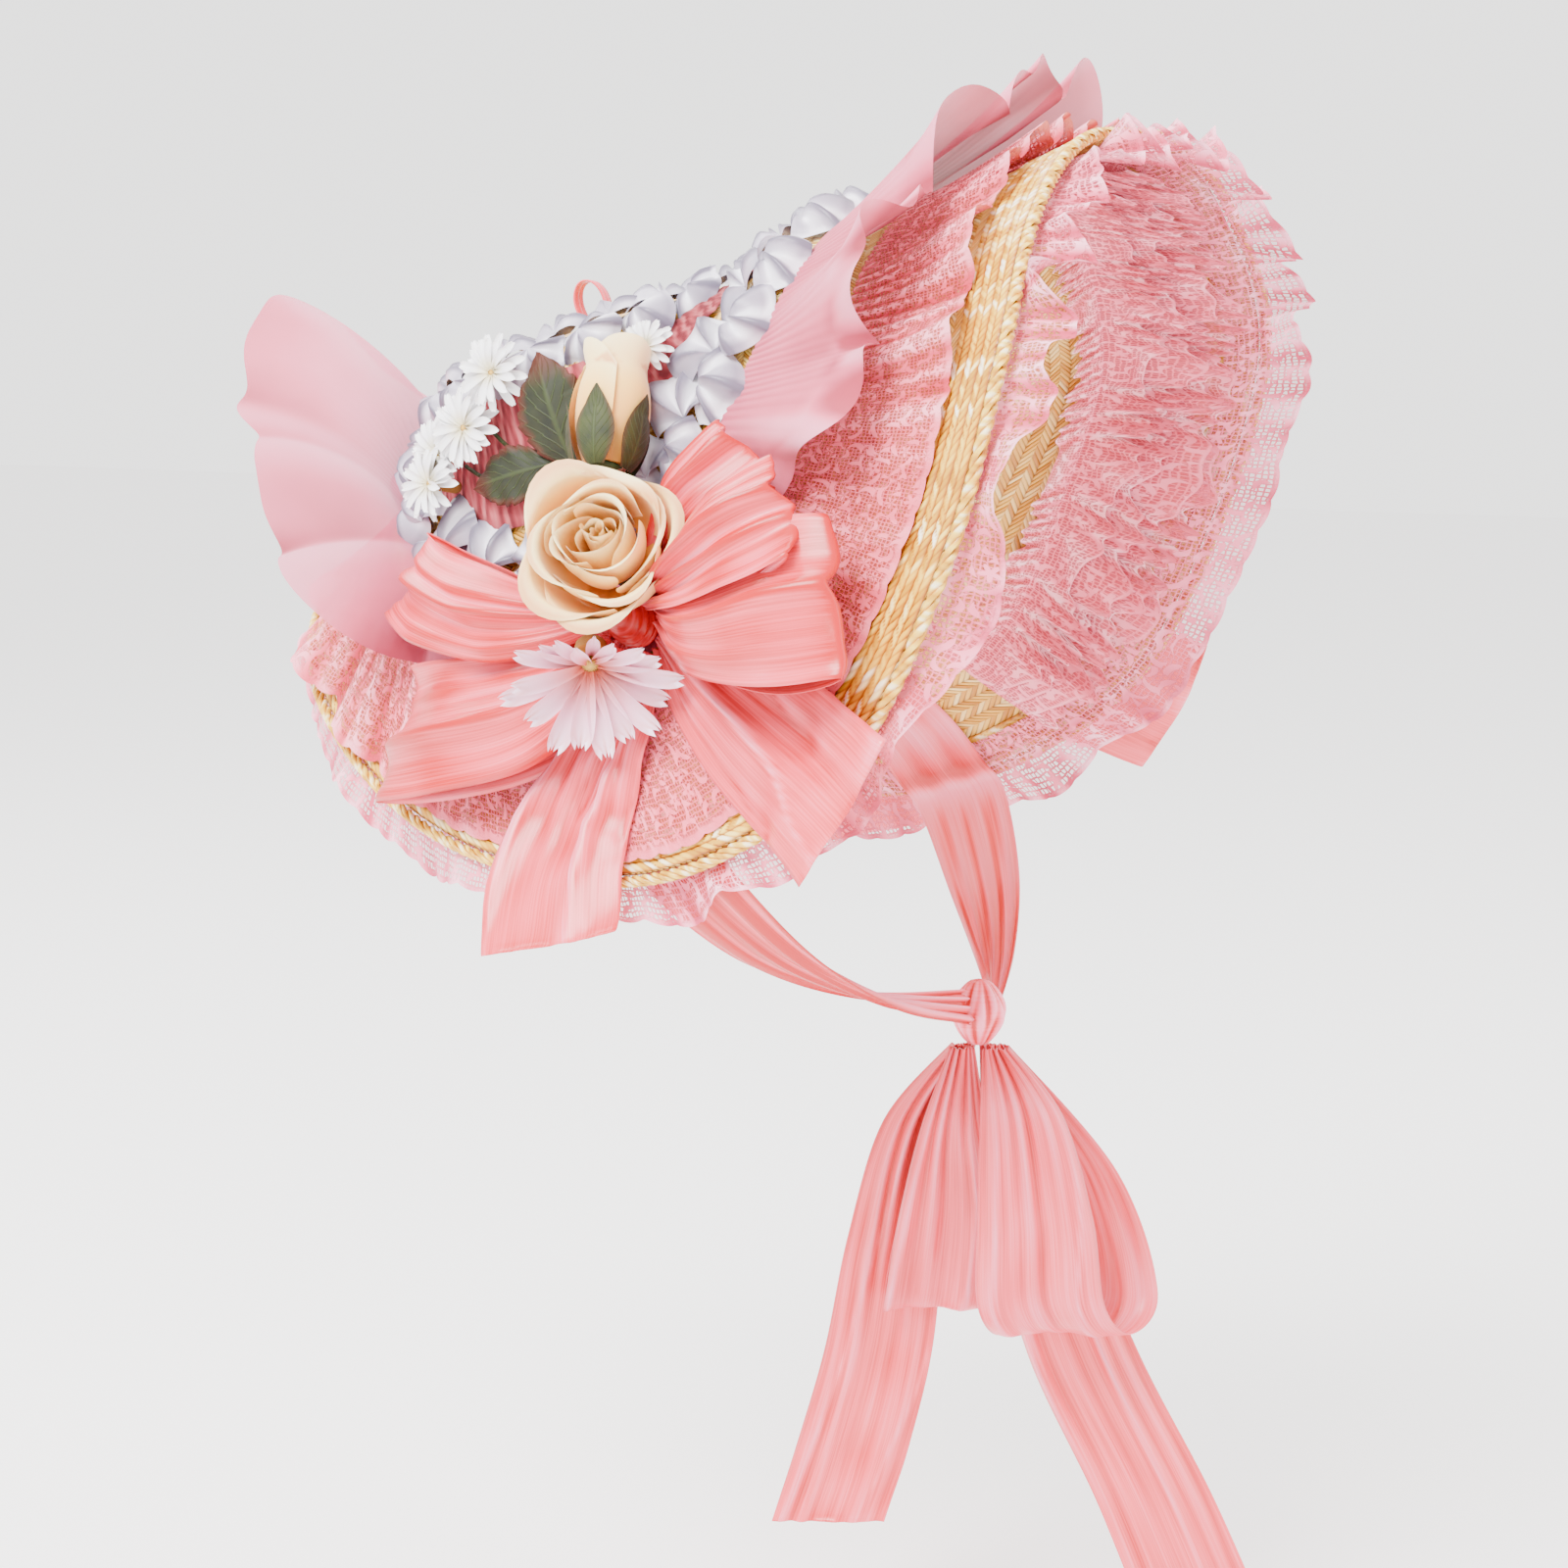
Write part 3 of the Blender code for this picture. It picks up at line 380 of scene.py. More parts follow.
@dataclass(frozen=True)
class LaceCloth(Finish):
    """Machine lace: a hexagonal net with solid leaf and flower motifs and a dense scalloped edge."""

    # deep is painted shade for the folds and the holes, light is painted light for the crests
    deep: str = "#c22c44"
    middle: str = "#ef6c80"
    light: str = "#ff9eb0"
    net_mm: float = 2.5
    motif_mm: float = 15.0
    petals: float = 5.0
    leaves: float = 3.0
    open_share: float = 1.0

    def threads(self, tree: Tree) -> tuple[Any, Any]:
        """Where there is thread.

        Args:
            tree: the material's node tree.

        Returns:
            The net's share and the motif's share, from 0 to 1.
        """
        place = cloth_place(tree, self.net_mm, self.net_mm)
        values = {"Vector": place, "Scale": 1.0, "Randomness": 0.3}
        net = add(tree, "TexVoronoi", values, feature="DISTANCE_TO_EDGE").outputs["Distance"]
        lines = remap(tree, net, 0.20, 0.10)
        place = cloth_place(tree, self.motif_mm, self.motif_mm)
        cell = add(tree, "TexVoronoi", {"Vector": place, "Scale": 1.0, "Randomness": 0.55})
        centre, far = cell.outputs["Position"], cell.outputs["Distance"]
        arm = add(tree, "VectorMath", {0: place, 1: centre}, operation="SUBTRACT").outputs[0]
        aside, ahead = split(tree, arm)
        turn = maths(tree, "ARCTAN2", ahead, aside)
        petals = maths(tree, "COSINE", maths(tree, "MULTIPLY", turn, self.petals))
        outline = maths(tree, "MULTIPLY_ADD", petals, 0.09, 0.25)
        flower = remap(tree, maths(tree, "SUBTRACT", outline, far), -0.01, 0.02)
        swirl = maths(tree, "MULTIPLY_ADD", turn, self.leaves, maths(tree, "MULTIPLY", far, 9.0))
        leaf = remap(tree, maths(tree, "COSINE", swirl), 0.45, 0.6)
        ring = remap(tree, far, 0.36, 0.40)
        motif = maths(tree, "MAXIMUM", flower, maths(tree, "MULTIPLY", leaf, ring))
        eye = remap(tree, far, 0.05, 0.07)
        return lines, maths(tree, "MULTIPLY", motif, eye)

    def edge(self, tree: Tree) -> Any:
        """The bound edge, from the piece's own edge attribute."""
        return remap(tree, attribute(tree, "edge"), 0.93, 0.97)

    def colour(self, tree: Tree) -> Any:
        """Painted shade in the folds and painted light on the crests, paler on the raised motif, with the
        holes painted darker as shade seen through the net.
        """
        stops = [(0.1, self.deep), (0.5, self.middle), (0.9, self.light)]
        # painted shade in the folds and painted light on the crests
        base = ramp(tree, attribute(tree, "cavity"), stops)
        lines, motif = self.threads(tree)
        thread = maths(tree, "MAXIMUM", maths(tree, "MULTIPLY", lines, 0.55), motif)
        solid = maths(tree, "MAXIMUM", thread, self.edge(tree))
        # painted shade: the open net is darkened towards deep, as if shade showed through its holes
        holes = blend(tree, "MULTIPLY", 0.75, base, linear(self.deep))
        return blend(tree, "MIX", solid, holes, base)

    def relief(self, tree: Tree) -> Any:
        """Raised thread."""
        lines, motif = self.threads(tree)
        return maths(tree, "ADD", maths(tree, "MAXIMUM", lines, motif), maths(tree, "MULTIPLY", motif, 0.6))

    def cover(self, tree: Tree) -> Any:
        """Holes in the net, closed at the bound edge."""
        lines, motif = self.threads(tree)
        thread = maths(tree, "MAXIMUM", maths(tree, "MAXIMUM", lines, motif), self.edge(tree))
        return maths(tree, "MULTIPLY_ADD", thread, self.open_share, 1 - self.open_share, clamp=True)


@dataclass(frozen=True)
class Shantung(Finish):
    """Slubbed shantung ribbon: uneven lengthwise threads in close corals, with a soft gloss."""

    # deep is painted shade for the folds, light is painted light for the crests
    deep: str = "#c0161a"
    middle: str = "#ee5260"
    light: str = "#fd88a0"
    stripe_mm: float = 1.1
    slub_mm: float = 70.0

    def slubs(self, tree: Tree) -> Any:
        """Lengthwise threads of uneven weight."""
        return noise(tree, cloth_place(tree, self.slub_mm, self.stripe_mm), 1.0, 3.0, 0.6)

    def colour(self, tree: Tree) -> Any:
        """Thread tone over painted fold shade and painted crest light."""
        slub = remap(tree, self.slubs(tree), 0.3, 0.7)
        # painted shade in the folds and painted light on the crests, from the fold attribute, with the real
        # slub tone added
        tone = maths(tree, "MULTIPLY_ADD", slub, 0.30, attribute(tree, "cavity"))
        stops = [(0.20, self.deep), (0.55, self.middle), (0.98, self.light)]
        return ramp(tree, maths(tree, "SUBTRACT", tone, 0.15), stops)

    def relief(self, tree: Tree) -> Any:
        """The slubs stand a little proud."""
        return self.slubs(tree)


@dataclass(frozen=True)
class PlainSatin(Finish):
    """White satin: long smooth floats with a soft broad gloss, faintly lilac in shade."""

    # deep is painted shade for the folds, light is painted light for the crests
    deep: str = "#6c6476"
    middle: str = "#aaa2b2"
    light: str = "#e2dee8"

    def colour(self, tree: Tree) -> Any:
        """Painted grey-lilac shade in the folds and painted light on the crests."""
        stops = [(0.08, self.deep), (0.4, self.middle), (0.72, self.light)]
        # painted shade and painted light from the fold attribute
        return ramp(tree, attribute(tree, "cavity"), stops)

    def relief(self, tree: Tree) -> Any:
        """Fine crush lines along the gathers."""
        return noise(tree, cloth_place(tree, 1.2, 9.0), 1.0, 2.0)


@dataclass(frozen=True)
class SilkPetal(Finish):
    """Dyed silk or cloth petals: matt, tinted from root to rim, with pressed veins."""

    root: str = "#cc7012"
    middle: str = "#f7c368"
    rim: str = "#ffe9b0"
    vein_mm: float = 1.6

    def colour(self, tree: Tree) -> Any:
        """Tinted along the petal, with painted shade in its creases."""
        stops = [(0.0, self.root), (0.55, self.middle), (1.0, self.rim)]
        base = ramp(tree, attribute(tree, "along"), stops)
        # painted shade: creases darken towards the root colour
        shade = ramp(tree, attribute(tree, "cavity"), [(0.0, self.root), (0.5, "#ffffff")])
        return blend(tree, "MULTIPLY", 0.8, base, shade)

    def relief(self, tree: Tree) -> Any:
        """Veins that run along the petal."""
        return noise(tree, cloth_place(tree, self.vein_mm, 22.0), 1.0, 2.0)


@dataclass(frozen=True)
class WaxedLeaf(Finish):
    """Waxed cloth leaf: dull green, paler pressed veins and a red-brown tip."""

    base: str = "#0c1200"
    light: str = "#202602"
    tip: str = "#5a1a0c"
    vein: str = "#38451a"
    side_veins: float = 8

    def chart(self, tree: Tree) -> tuple[Any, Any]:
        """Place along the leaf and distance from its midrib, each from 0 to 1."""
        along, across = split(tree, add(tree, "UVMap", {}, uv_map="UVMap").outputs["UV"])
        return along, maths(tree, "ABSOLUTE", across)

    def veins(self, tree: Tree) -> Any:
        """A midrib and slanted side veins."""
        along, aside = self.chart(tree)
        slant = maths(tree, "MULTIPLY_ADD", aside, -0.35, along)
        waves = maths(tree, "SINE", maths(tree, "MULTIPLY", slant, math.tau * self.side_veins))
        return maths(tree, "MAXIMUM", remap(tree, waves, 0.8, 1.0), remap(tree, aside, 0.10, 0.03))

    def colour(self, tree: Tree) -> Any:
        """Green to a brown tip, with pale veins."""
        mottle = cloud(tree, 130.0, 3.0)
        green = ramp(tree, mottle, [(0.3, self.base), (0.75, self.light)])
        share = maths(tree, "MULTIPLY", self.veins(tree), 0.45)
        veined = blend(tree, "MIX", share, green, linear(self.vein))
        end = remap(tree, attribute(tree, "along"), 0.70, 1.05)
        margin = remap(tree, self.chart(tree)[1], 0.7, 1.1)
        return blend(tree, "MIX", maths(tree, "MAXIMUM", end, margin), veined, linear(self.tip))

    def relief(self, tree: Tree) -> Any:
        """Pressed veins."""
        return self.veins(tree)


@dataclass(frozen=True)
class PlainFloor(Finish):
    """Seamless studio paper, pale and matt."""

    def colour(self, tree: Tree) -> Any:
        """One even tone with a faint tooth."""
        mottle = cloud(tree, 900.0, 1.0)
        return ramp(tree, mottle, [(0.0, "#f6f5f5"), (1.0, "#fbfafa")])


STRAW = PlaitedStraw("straw_plaited_wheat", roughness=0.34, bump_mm=0.55)
CARVED = CarvedStraw("straw_split_wheat", roughness=0.24, bump_mm=0.08)
CHIFFON = SheerCloth("chiffon_sheer_pink", roughness=0.75, sheen=0.1, bump_mm=0.05, subsurface=0.15)
VOILE = SheerCloth(
    "voile_crinkled_dusty_pink", roughness=0.8, sheen=0.05, bump_mm=0.08,
    deep="#86202c", middle="#bc444e", light="#dc7478", opacity=1.0,
)
LACE = LaceCloth(
    "lace_machine_coral", roughness=0.85, sheen=0.05, bump_mm=0.12, open_share=0.55, subsurface=0.1
)
LACE_LINING = LaceCloth(
    "lace_machine_rose", roughness=0.85, sheen=0.05, bump_mm=0.15, open_share=0.4,
    deep="#da5e74", middle="#f88aa0", light="#ffbcca",
)
LACE_PALE = LaceCloth(
    "lace_machine_pale", roughness=0.85, sheen=0.05, bump_mm=0.12, open_share=0.7,
    deep="#c84462", middle="#f2809a", light="#ffb2c8",
)
RIBBON = Shantung("shantung_coral", roughness=0.27, sheen=0.05, bump_mm=0.08, subsurface=0.15)
SATIN = PlainSatin("satin_white", roughness=0.34, sheen=0.15, bump_mm=0.12)
ROSE_SILK = SilkPetal("silk_petal_cream", roughness=0.62, sheen=0.2, bump_mm=0.12, subsurface=0.2)
LILAC_SILK = SilkPetal(
    "silk_petal_lilac", roughness=0.6, sheen=0.15, bump_mm=0.12,
    root="#d86a48", middle="#ecb8d0", rim="#f4dcee",
)
WHITE_SILK = SilkPetal(
    "silk_petal_white", roughness=0.6, sheen=0.15, bump_mm=0.08,
    root="#e6dcb8", middle="#e9e8ec", rim="#f6f6fa",
)
STAMEN = SilkPetal(
    "flock_stamen_ochre", roughness=0.9, bump_mm=0.2,
    root="#7a4a22", middle="#b88a3a", rim="#d9b25a",
)
LEAF = WaxedLeaf("leaf_waxed_cloth", roughness=0.66, bump_mm=0.25)
SEPAL = WaxedLeaf(
    "sepal_waxed_cloth", roughness=0.66, bump_mm=0.2,
    base="#1a2202", light="#333a08", tip="#4a2a10",
)
FLOOR = PlainFloor("paper_seamless", roughness=0.9)


def from_front(angle: Array) -> Array:
    """Degrees from the front, on either side."""
    turned = angle % 360
    return np.minimum(turned, 360 - turned)


def sine(u: Array, turns: float, shift: Any = 0.0) -> Array:
    """A sine that passes so many times while u goes from 0 to 1."""
    return np.sin(math.tau * u * turns + shift)


def polar(radius: Array, turn: Array, rise: Array) -> Array:
    """Points round +Z."""
    return np.stack([radius * np.cos(turn), radius * np.sin(turn), rise], 1)


def shifted(points: Array, *moves: tuple[Array, Array]) -> Array:
    """Points moved by amounts along directions, one after the other."""
    for direction, amount in moves:
        points = points + direction * amount[:, None]
    return points


def direction(azimuth: float, elevation: float) -> Vector:
    """The direction outwards at degrees round the hat and above the horizon."""
    a, e = math.radians(azimuth), math.radians(elevation)
    return Vector((math.sin(a) * math.cos(e), -math.cos(a) * math.cos(e), math.sin(e)))


def placed(name: str, data: Any) -> bpy.types.Object:
    """A new object in the scene."""
    made = bpy.data.objects.new(name, data)
    bpy.context.scene.collection.objects.link(made)
    return made


def even(rows: Table, angle: Array) -> list[Array]:
    """Eased values of a table at angles, the same on both sides of the hat.

    Args:
        rows: angle first, then values, from 0 to 180 degrees.
        angle: degrees.

    Returns:
        One array for each column of values.
    """
    table = np.array(rows, float)
    folded = from_front(angle)
    index = np.clip(np.searchsorted(table[:, 0], folded, "right") - 1, 0, len(table) - 2)
    share = (folded - table[index, 0]) / (table[index + 1, 0] - table[index, 0])
    eased = share * share * (3 - 2 * share)
    start, end = table[index], table[index + 1]
    return [start[..., c] + (end[..., c] - start[..., c]) * eased for c in range(1, table.shape[1])]


def along_rows(rows: Any, share: Array) -> list[Array]:
    """Values of a table on a smooth curve through its rows.

    Args:
        rows: rows of values.
        share: place along the rows, from 0 to 1.

    Returns:
        One array for each column.
    """
    table = np.array(rows, float)
    last = len(table) - 1
    at = np.clip(share, 0, 1) * last
    index = np.minimum(at.astype(int), last - 1)
    part = (at - index)[:, None]
    a, b = table[np.maximum(index - 1, 0)], table[index]
    c, d = table[index + 1], table[np.minimum(index + 2, last)]
    bend = (2 * a - 5 * b + 4 * c - d) / 2
    twist = (3 * b - a - 3 * c + d) / 2
    return list((b + part * ((c - a) / 2 + part * (bend + part * twist))).T)


def unit(vectors: Array) -> Array:
    """Vectors at length 1."""
    return vectors / np.maximum(np.linalg.norm(vectors, axis=-1, keepdims=True), 1e-12)


def ripple(u: Array, v: Array, seed: int, waves: int = 7, pace: float = 9.0) -> Array:
    """A soft uneven surface, about -1 to 1, that is the same on each run.

    Args:
        u: place along, closed at 1.
        v: place across.
        seed: which pattern.
        waves: how many waves are summed.
        pace: how many waves pass along and across at most.

    Returns:
        The heights.
    """
    dice = np.random.default_rng(seed)
    total = np.zeros_like(u)
    for _ in range(waves):
        turns, rows = dice.integers(1, int(pace) + 1), dice.uniform(-pace / 3, pace / 3)
        start = dice.uniform(0, math.tau)
        total += np.sin(math.tau * (turns * u + rows * v) + start)
    return total / math.sqrt(waves * 0.75)


@dataclass(frozen=True)
class HatForm:
    """The hat's own lines and surfaces, in metres, with the same named sizes as its solids."""

    gap: float = 0.0003
    crown_half_width: float = 0.090
    crown_back_reach: float = 0.192
    crown_foot_rise: float = 0.068
    top_half_width: float = 0.073
    top_half_depth: float = 0.083
    top_centre_back: float = 0.106
    top_centre_rise: float = 0.018
    top_tilt_deg: float = 20.0
    top_dome: float = 0.010
    straw_thickness: float = 0.0018
    brim_half_width: float = 0.152
    brim_back_reach: float = 0.250
    brim_drop: float = 0.183
    brim_dish: float = 0.07
    foot_line: Table = (
        (0, 0.00, 0.045, 1.00), (20, 0.36, 0.060, 0.91), (40, 0.65, 0.100, 0.58),
        (60, 0.86, 0.170, 0.00), (75, 0.96, 0.250, -0.44), (90, 1.00, 0.355, -0.76),
        (105, 1.00, 0.480, -0.97), (120, 0.94, 0.615, -1.06), (135, 0.80, 0.760, -0.98),
        (150, 0.59, 0.885, -0.78), (165, 0.32, 0.970, -0.56), (180, 0.00, 1.000, -0.44),
    )
    edge_line: Table = (
        (0, 0.00, -0.440, 0.560), (20, 0.38, -0.450, 0.535), (40, 0.72, -0.465, 0.385),
        (60, 0.98, -0.475, 0.085), (75, 1.00, -0.400, -0.290), (90, 1.00, -0.250, -0.690),
        (105, 0.97, -0.020, -0.920), (120, 0.91, 0.200, -1.000), (135, 0.80, 0.470, -0.970),
        (150, 0.62, 0.700, -0.860), (165, 0.36, 0.900, -0.680), (180, 0.00, 1.000, -0.520),
    )
    samples: int = 720
    dense: dict[str, Array] = field(default_factory=dict, compare=False)

    def __post_init__(self) -> None:
        """Samples both lines closely, so that a point is then looked up."""
        angles = [360 * step / self.samples for step in range(self.samples + 1)]
        for name, rows in (("foot", self.foot_line), ("edge", self.edge_line)):
            self.dense[name] = np.array([self.line_at(rows, angle) for angle in angles])

    def line_at(self, rows: Table, angle: float) -> Point:
        """A line's place as shares at one angle, on a smooth curve whose two sides mirror each other.

        Args:
            rows: the line's table.
            angle: degrees.

        Returns:
            Shares to the left, back and up.
        """
        turned = angle % 360
        side = 1 if turned <= 180 else -1
        folded = turned if side == 1 else 360 - turned
        index = max(i for i in range(len(rows) - 1) if rows[i][0] <= folded + 1e-9)
        before = rows[index - 1] if index else (-rows[1][0], -rows[1][1], *rows[1][2:])
        start, end = rows[index], rows[index + 1]
        last = len(rows) - 2
        after = rows[index + 2] if index < last else (360 - rows[last][0], -rows[last][1], *rows[last][2:])
        span = end[0] - start[0]
        t = (folded - start[0]) / span
        values = []
        for c in range(1, 4):
            slope_in = (end[c] - before[c]) / (end[0] - before[0]) * span
            slope_out = (after[c] - start[c]) / (after[0] - start[0]) * span
            rise = (2 * t**3 - 3 * t**2 + 1) * start[c] + (t**3 - 2 * t**2 + t) * slope_in
            values.append(rise + (3 * t**2 - 2 * t**3) * end[c] + (t**3 - t**2) * slope_out)
        return -side * values[0], values[1], values[2]

    def line(self, name: str, angle: Array, sizes: Point) -> Array:
        """Points on the foot or edge line at angles, for its sizes sideways, back and up."""
        at = (angle % 360) * (self.samples / 360)
        index = np.minimum(at.astype(int), self.samples - 1)
        part = (at - index)[..., None]
        rows = self.dense[name]
        return (rows[index] * (1 - part) + rows[index + 1] * part) * np.array(sizes)

    def foot(self, angle: Array) -> Array:
        """Where the brim meets the crown."""
        sizes = (self.crown_half_width, self.crown_back_reach, self.crown_foot_rise)
        return self.line("foot", angle, sizes)

    def edge(self, angle: Array) -> Array:
        """The brim's outer edge."""
        return self.line("edge", angle, (self.brim_half_width, self.brim_back_reach, self.brim_drop))

    def length(self, angle: Array) -> Array:
        """Straight length of the brim from foot to edge."""
        return np.linalg.norm(self.edge(angle) - self.foot(angle), axis=-1)

    def top(self, angle: Array) -> Array:
        """The edge of the crown's flat top."""
        turn, tilt = np.radians(angle), math.radians(self.top_tilt_deg)
        along = -self.top_half_depth * np.cos(turn)
        back = self.top_centre_back + along * math.cos(tilt)
        rise = self.top_centre_rise - along * math.sin(tilt)
        return np.stack([-self.top_half_width * np.sin(turn), back, rise], -1)

    def brim(self, angle: Array, across: Array) -> Array:
        """Points on the brim's middle surface."""
        foot, edge = self.foot(angle), self.edge(angle)
        ahead = self.foot(angle + 1) + self.edge(angle + 1)
        behind = self.foot(angle - 1) + self.edge(angle - 1)
        outward = unit(np.cross(ahead - behind, edge - foot))
        length = np.linalg.norm(edge - foot, axis=-1, keepdims=True)
        middle = (foot + edge) / 2 - outward * self.brim_dish * length
        t = np.asarray(across, float)[..., None]
        return foot * (1 - t) ** 2 + middle * 2 * t * (1 - t) + edge * t**2

    def brim_frame(self, angle: Array, across: Array) -> tuple[Array, Array, Array]:
        """Places on the brim, directions towards its edge and normals on its outer side."""
        outwards = self.brim(angle, across + 0.02) - self.brim(angle, across - 0.02)
        round_hat = self.brim(angle + 1, across) - self.brim(angle - 1, across)
        return self.brim(angle, across), unit(outwards), unit(np.cross(round_hat, outwards))

    def on_brim(self, angle: Array, across: Array, lift: Array) -> Array:
        """Points that stand off the brim's middle surface."""
        place, _, normal = self.brim_frame(angle, across)
        return place + normal * np.asarray(lift)[..., None]

    def crown_frame(self, angle: Array) -> tuple[Array, Array, Array, Array]:
        """The crown wall's foot and top, its upward direction and its outward normal."""
        place, outwards, _ = self.brim_frame(angle, np.zeros_like(angle))
        foot = place - outwards * (self.straw_thickness / 2 + self.gap)
        top = self.top(angle)
        upwards = unit(top - foot)
        return foot, top, upwards, unit(np.cross(upwards, self.foot(angle + 1) - self.foot(angle - 1)))

    def on_crown(self, angle: Array, share: Array, lift: Array) -> Array:
        """Points off the crown's wall, with share 0 at its foot and 1 at its top."""
        foot, top, _, outward = self.crown_frame(angle)
        share = np.asarray(share)[..., None]
        return foot * (1 - share) + top * share + outward * np.asarray(lift)[..., None]

    def top_normal(self) -> Array:
        """The upward normal of the crown's tilted top."""
        tilt = math.radians(self.top_tilt_deg)
        return np.array([0, math.sin(tilt), math.cos(tilt)])

    def on_top(self, angle: Array, inwards: Array, lift: Array) -> Array:
        """Points off the domed top, with inwards 0 at its edge and 1 at its centre."""
        centre = np.array([0, self.top_centre_back, self.top_centre_rise])
        dome = self.top_dome * (1 - (1 - inwards) ** 2)
        share = np.asarray(inwards)[..., None]
        return self.top(angle) * (1 - share) + centre * share + self.top_normal() * (dome + lift)[..., None]


FORM = HatForm()
HEM = {"edge": lambda u, v: v}


def fold_wave(angle: Array, folds: int) -> Array:
    """A fold line from -1 to 1 with slightly uneven folds."""
    turn = np.radians(angle)
    return np.sin(folds * turn + 0.9 * np.sin(3 * turn) + 0.5 * np.cos(5 * turn))


@dataclass
class Panel:
    """A surface over place(u, v), with u and v from 0 to 1, made from a grid.

    Its UV map is in metres of flat cloth, and it carries the attribute cavity, which is 0 in deep folds,
    0.5 where it is flat and 1 on sharp crests.
    """

    name: str
    columns: int
    rows: int
    place: Place
    cut: tuple[float, float] = (1.0, 1.0)
    closed: bool = False
    thickness: float = 0.0
    reach: int = 3
    depth_mm: float = 1.2
    chart: Callable[[Array, Array], tuple[Array, Array]] | None = None
    notes: dict[str, Callable[[Array, Array], Array]] = field(default_factory=dict)

    def cavity(self, points: Array, u: Array, v: Array) -> Array:
        """How far each point stands out from its neighbours.

        Args:
            points: the points.
            u: their places along.
            v: their places across.

        Returns:
            One value for each point.
        """
        order = np.lexsort((u, v))
        shape = (self.rows + 1, self.columns + 1)
        grid = points[order].reshape(*shape, 3)
        sides = np.zeros_like(grid)
        for axis, step in ((1, self.reach), (0, max(1, self.reach // 2))):
            edge_mode = "wrap" if axis == 1 and self.closed else "edge"
            pad = [(0, 0)] * 3
            pad[axis] = (step, step)
            wide = np.pad(grid, pad, mode=edge_mode)
            count = shape[axis]
            low = np.take(wide, range(count), axis)
            high = np.take(wide, range(2 * step, 2 * step + count), axis)
            sides += (low + high) / 2 - grid
        along, across = np.gradient(grid, axis=1), np.gradient(grid, axis=0)
        normal = unit(np.cross(along, across))
        stand = -(sides * normal).sum(-1) / (self.depth_mm * MM)
        value = np.empty(len(points))
        value[order] = np.clip(0.5 + 0.5 * np.tanh(stand), 0, 1).ravel()
        return value

    def mesh(self) -> bpy.types.Mesh:
        """Makes the mesh, with its UV map and attributes."""
        bm = bmesh.new()
        bm.loops.layers.uv.new("UVMap")
        bmesh.ops.create_grid(bm, x_segments=self.columns, y_segments=self.rows, size=1, calc_uvs=True)
        mesh = bpy.data.meshes.new(self.name)
        bm.to_mesh(mesh)
        bm.free()
        count = len(mesh.vertices)
        flat = np.empty(count * 3, np.float32)
        mesh.vertices.foreach_get("co", flat)
        flat = flat.reshape(-1, 3)
        u = np.round((flat[:, 0].astype(float) + 1) / 2 * self.columns) / self.columns
        v = np.round((flat[:, 1].astype(float) + 1) / 2 * self.rows) / self.rows
        points = self.place(u, v)
        mesh.vertices.foreach_set("co", points.astype(np.float32).ravel())
        x, y = self.chart(u, v) if self.chart else (u * self.cut[0], v * self.cut[1])
        corner = np.empty(len(mesh.loops), np.int32)
        mesh.loops.foreach_get("vertex_index", corner)
        flat_place = np.stack([x, y], 1)[corner].astype(np.float32).ravel()
        mesh.uv_layers["UVMap"].uv.foreach_set("vector", flat_place)
        values = {"cavity": self.cavity(points, u, v)}
        values.update({name: note(u, v) for name, note in self.notes.items()})
        for name, value in values.items():
            layer = mesh.attributes.new(name, "FLOAT", "POINT")
            layer.data.foreach_set("value", np.ascontiguousarray(value, np.float32))
        bm = bmesh.new()
        bm.from_mesh(mesh)
        bmesh.ops.remove_doubles(bm, verts=bm.verts, dist=1e-6)
        bm.to_mesh(mesh)
        bm.free()
        mesh.shade_smooth()
        return mesh

    def build(self) -> bpy.types.Object:
        """Makes the object."""
        made = placed(self.name, self.mesh())
        if self.thickness:
            wall = made.modifiers.new("thickness", "SOLIDIFY")
            wall.thickness, wall.offset = self.thickness, 0.0
        return made

    def flat_size(self, piece: bpy.types.Object) -> tuple[float, float]:
        """Width and length the cloth was cut to: cloth doesn't stretch, so its area is what the mesh has.

        Args:
            piece: the built object.

        Returns:
            Width and length in metres.
        """
        area = sum(face.area for face in piece.data.polygons)
        line = np.linspace(0, 1, 200)
        widths = []
        for u in (0.1, 0.3, 0.5, 0.7, 0.9):
            points = self.place(np.full(200, u), line)
            widths.append(np.linalg.norm(np.diff(points, axis=0), axis=1).sum())
        width = float(np.mean(widths))
        return width, area / width


def declare(
    piece: bpy.types.Object,
    nodes: tuple[str, ...],
) -> bpy.types.Object:
    """Attaches a piece to the root, hides the CAD nodes it replaces and logs its faces.

    Args:
        piece: the object.
        nodes: the CAD nodes it replaces.

    Returns:
        The object.
    """
    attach(piece, "root")
    if nodes:
        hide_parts(*nodes)
    LOG.info("%s: %d faces", piece.name, len(piece.data.polygons))
    return piece


def dress(
    panel: Panel,
    finish: Finish,
    nodes: tuple[str, ...] = (),
    held: Held | None = None,
) -> bpy.types.Object:
    """Builds a panel, gives it its finish, attaches it and hides the CAD nodes it replaces.

    Args:
        panel: the surface.
        finish: its finish.
        nodes: the CAD nodes it replaces.
        held: how it is held, if it is cloth.

    Returns:
        The object.
    """
    piece = panel.build()
    piece.data.materials.append(finish.material())
    flat = panel.flat_size(piece) if held else None
    return declare(piece, nodes)


